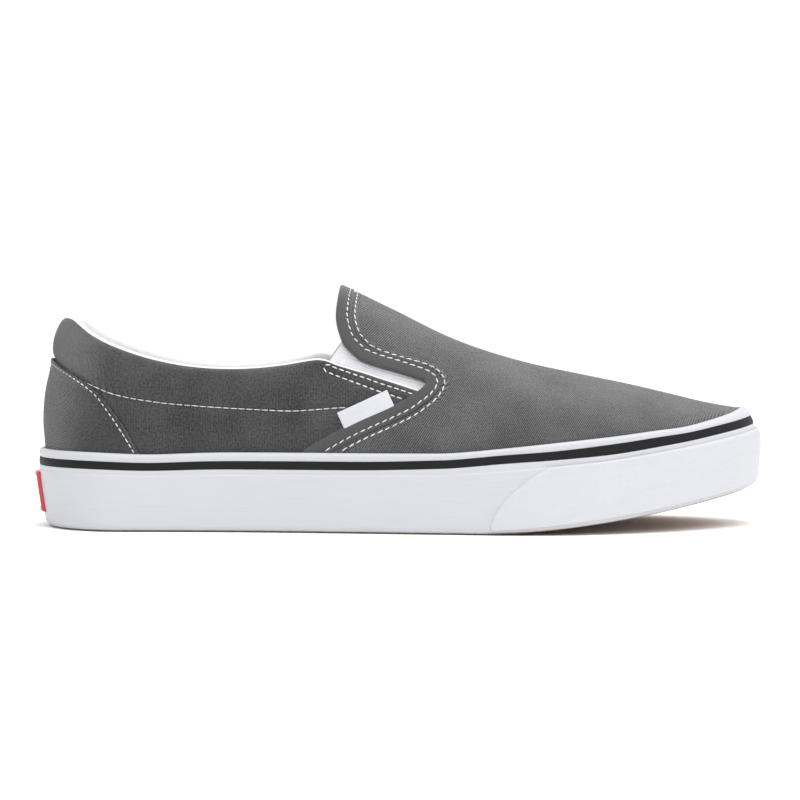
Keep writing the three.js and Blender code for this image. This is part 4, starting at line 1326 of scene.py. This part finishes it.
def capsules(length, width, jitter):
    """Capsules in their own axes, as arrays [stitch, ring, side] of along, lift and wide."""
    t = np.linspace(-1, 1, CAPSULE_RINGS)[None, :, None]
    body = np.sqrt(np.maximum(0, 1 - np.abs(t) ** 3))
    body[:, [0, -1]] = 0.12
    ring = np.arange(CAPSULE_SIDES) * 2 * PI / CAPSULE_SIDES
    along = (t * length / 2) * jitter
    lift = body * np.sin(ring) * width * 0.42 - 0.22 * width * t ** 4
    wide = body * np.cos(ring) * width * 0.5
    return np.broadcast_arrays(along, lift, wide, ring * width / 2)


def stitch_row(name, path, normals, pitch, length, width, skew=0.0):
    """Capsules along a path: local axes are the path's tangent, the normal and their cross."""
    s = arc_length(path)
    centres = np.arange(pitch / 2, s[-1] - pitch / 4, pitch)
    at = read_along(path, s, centres)
    fwd = unit(read_along(np.gradient(path, s, axis=0), s, centres))
    up = unit(read_along(normals, s, centres))
    side = unit(np.cross(up, fwd))
    fwd = unit(fwd + skew * side)
    rng = np.random.default_rng(len(name))
    jitter = 1 + 0.06 * rng.standard_normal(len(centres))[:, None, None]
    along, lift, wide, girth = capsules(length, width, jitter)
    points = at[:, None, None] + sum(
        reach[..., None] * axis[:, None, None]
        for reach, axis in ((along, fwd), (lift, up), (wide, side)))
    one = np.concatenate([skin_faces(CAPSULE_RINGS, CAPSULE_SIDES, False, True),
                          *end_caps(CAPSULE_RINGS, CAPSULE_SIDES)])
    if signed_volume(points[0].reshape(-1, 3), one) < 0:
        one = one[:, ::-1]
    starts = np.arange(len(centres)) * CAPSULE_RINGS * CAPSULE_SIDES
    faces = (one[None] + starts[:, None, None]).reshape(-1, 4)
    piece_of(name, points.reshape(-1, 3), faces, pair(along, girth).reshape(-1, 2),
             slot="thread", materials=[sewing_thread])


# %% Rows on the vamp and the front strip


def on_form(x, side, z, inset):
    """Path and outward normals on the form at side-view points."""
    path = place(x, side, z, inset)
    return path, unit(place(x, side, z, inset - 1.0) - path)


def vamp_row(name, k, height):
    """One of the two rows beside the seam, from the bead over the foot to the other bead."""
    x, turn = stitch_rows_on_vamp[k].T
    path = dome(x, turn, -height)
    normals = unit(dome(x, turn, -height - 1.0) - path)
    keep = path[:, 2] > bead_top(x) + 0.6
    stitch_row(name, path[keep], normals[keep], *VAMP_STITCH)


def strip_row(name, side):
    """The front strip's two rows and round end, as far as the vamp leaves them bare."""
    line = resample(strip_line, 400)
    hidden = line[:, 0] > vamp_back(line[:, 1]) + 1.0
    last = len(line) - np.argmax(~hidden[::-1])
    x, z = line[np.argmax(~hidden):last].T
    stitch_row(name, *on_form(x, side, z, OVERLAY + 0.02), *STRIP_STITCH)


vamp_row("vamp_stitches_one", 0, 0.32)
vamp_row("vamp_stitches_two", 1, 0.25)
for side_name, side in SIDES:
    strip_row(f"strip_stitches_{side_name}", side)


# %% Stitches of the collar and the counter
COUNTER_STITCH_ROWS = np.array([
    [0.000, 0.800], [0.013, 0.780], [0.030, 0.753], [0.056, 0.711], [0.073, 0.677],
    [0.089, 0.633], [0.102, 0.576], [0.113, 0.523], [0.123, 0.468], [0.133, 0.409],
    [0.138, 0.378], [0.145, 0.33],
])
counter_stitches = side_line(COUNTER_STITCH_ROWS, LENGTH, COLLAR)


def collar_row(name, side):
    """The row that holds the pad's lower edge, from the heel to the vamp's seam."""
    x = np.linspace(0.072, 0.428, 500) * LENGTH
    z = pad_stitches(x)
    path, normals = on_form(x, side, z, OVERLAY + 0.28)
    keep = x < vamp_back(z) - 0.5
    stitch_row(name, path[keep], normals[keep], *COLLAR_STITCH)


def counter_row():
    """The row just inside the counter's edge, from the outer side round the heel."""
    angle = u_turn(angle_at(0.1395, RAND), 500)
    z = counter_stitches(station(angle, RAND))
    path = form(angle, z, 0.02)
    normals = unit(form(angle, z, -1.0) - path)
    stitch_row("counter_stitches", path, normals, *COUNTER_STITCH)


for side_name, side in SIDES:
    collar_row(f"collar_stitches_{side_name}", side)
counter_row()

# %% [markdown]
# ## Floor and light
# A plain pale floor and broad soft lights from above and in front, as in a product picture.

# %% Floor and lights
floor_material, _, floor_shader = node_material("studio_floor")
set_sockets(floor_shader, {
    "Base Color": (0.97, 0.97, 0.97, 1), "Roughness": 0.9, "Specular IOR Level": 0.0})
bpy.ops.mesh.primitive_plane_add(size=60.0, location=(0, 0, 0))
floor = bpy.context.object
floor.name = "studio_floor"
floor.data.materials.append(floor_material)
floor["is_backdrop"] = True

world = bpy.data.worlds.new("studio")
bpy.context.scene.world = world
world.use_nodes = True
set_sockets(world.node_tree.nodes["Background"], {"Color": (1.0, 1.0, 1.0, 1), "Strength": 1.06})


def soft_light(name, place_at, aim, size, power):
    data = bpy.data.lights.new(name, "AREA")
    data.energy, data.size, data.shape = power, size, "SQUARE"
    light = bpy.data.objects.new(name, data)
    light.location = place_at
    light.rotation_euler = (Vector(aim) - Vector(place_at)).to_track_quat("-Z", "Y").to_euler()
    bpy.context.scene.collection.objects.link(light)


LIGHTS = [
    # name, place and aim in metres, size in metres, power in watts
    ("overhead", (0.15, -0.25, 1.15), (0.0, 0.0, 0.03), 1.0, 9.0),
    ("toe_side", (0.85, -0.15, 0.85), (0.1, 0.0, 0.04), 0.6, 2.0),
    ("front_fill", (0.0, -1.3, 0.9), (0.0, 0.0, 0.05), 0.9, 2.0),
]
for light_row in LIGHTS:
    soft_light(*light_row)
print("lights", len(LIGHTS))
bpy.context.scene.view_settings.view_transform = "Standard"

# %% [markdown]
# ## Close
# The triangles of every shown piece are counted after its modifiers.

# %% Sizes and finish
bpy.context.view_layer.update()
depsgraph = bpy.context.evaluated_depsgraph_get()
triangles = {}
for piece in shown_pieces():
    mesh = piece.evaluated_get(depsgraph).to_mesh()
    triangles[piece.name] = sum(len(polygon.vertices) - 2 for polygon in mesh.polygons)
print("triangles", triangles, "in all", sum(triangles.values()))
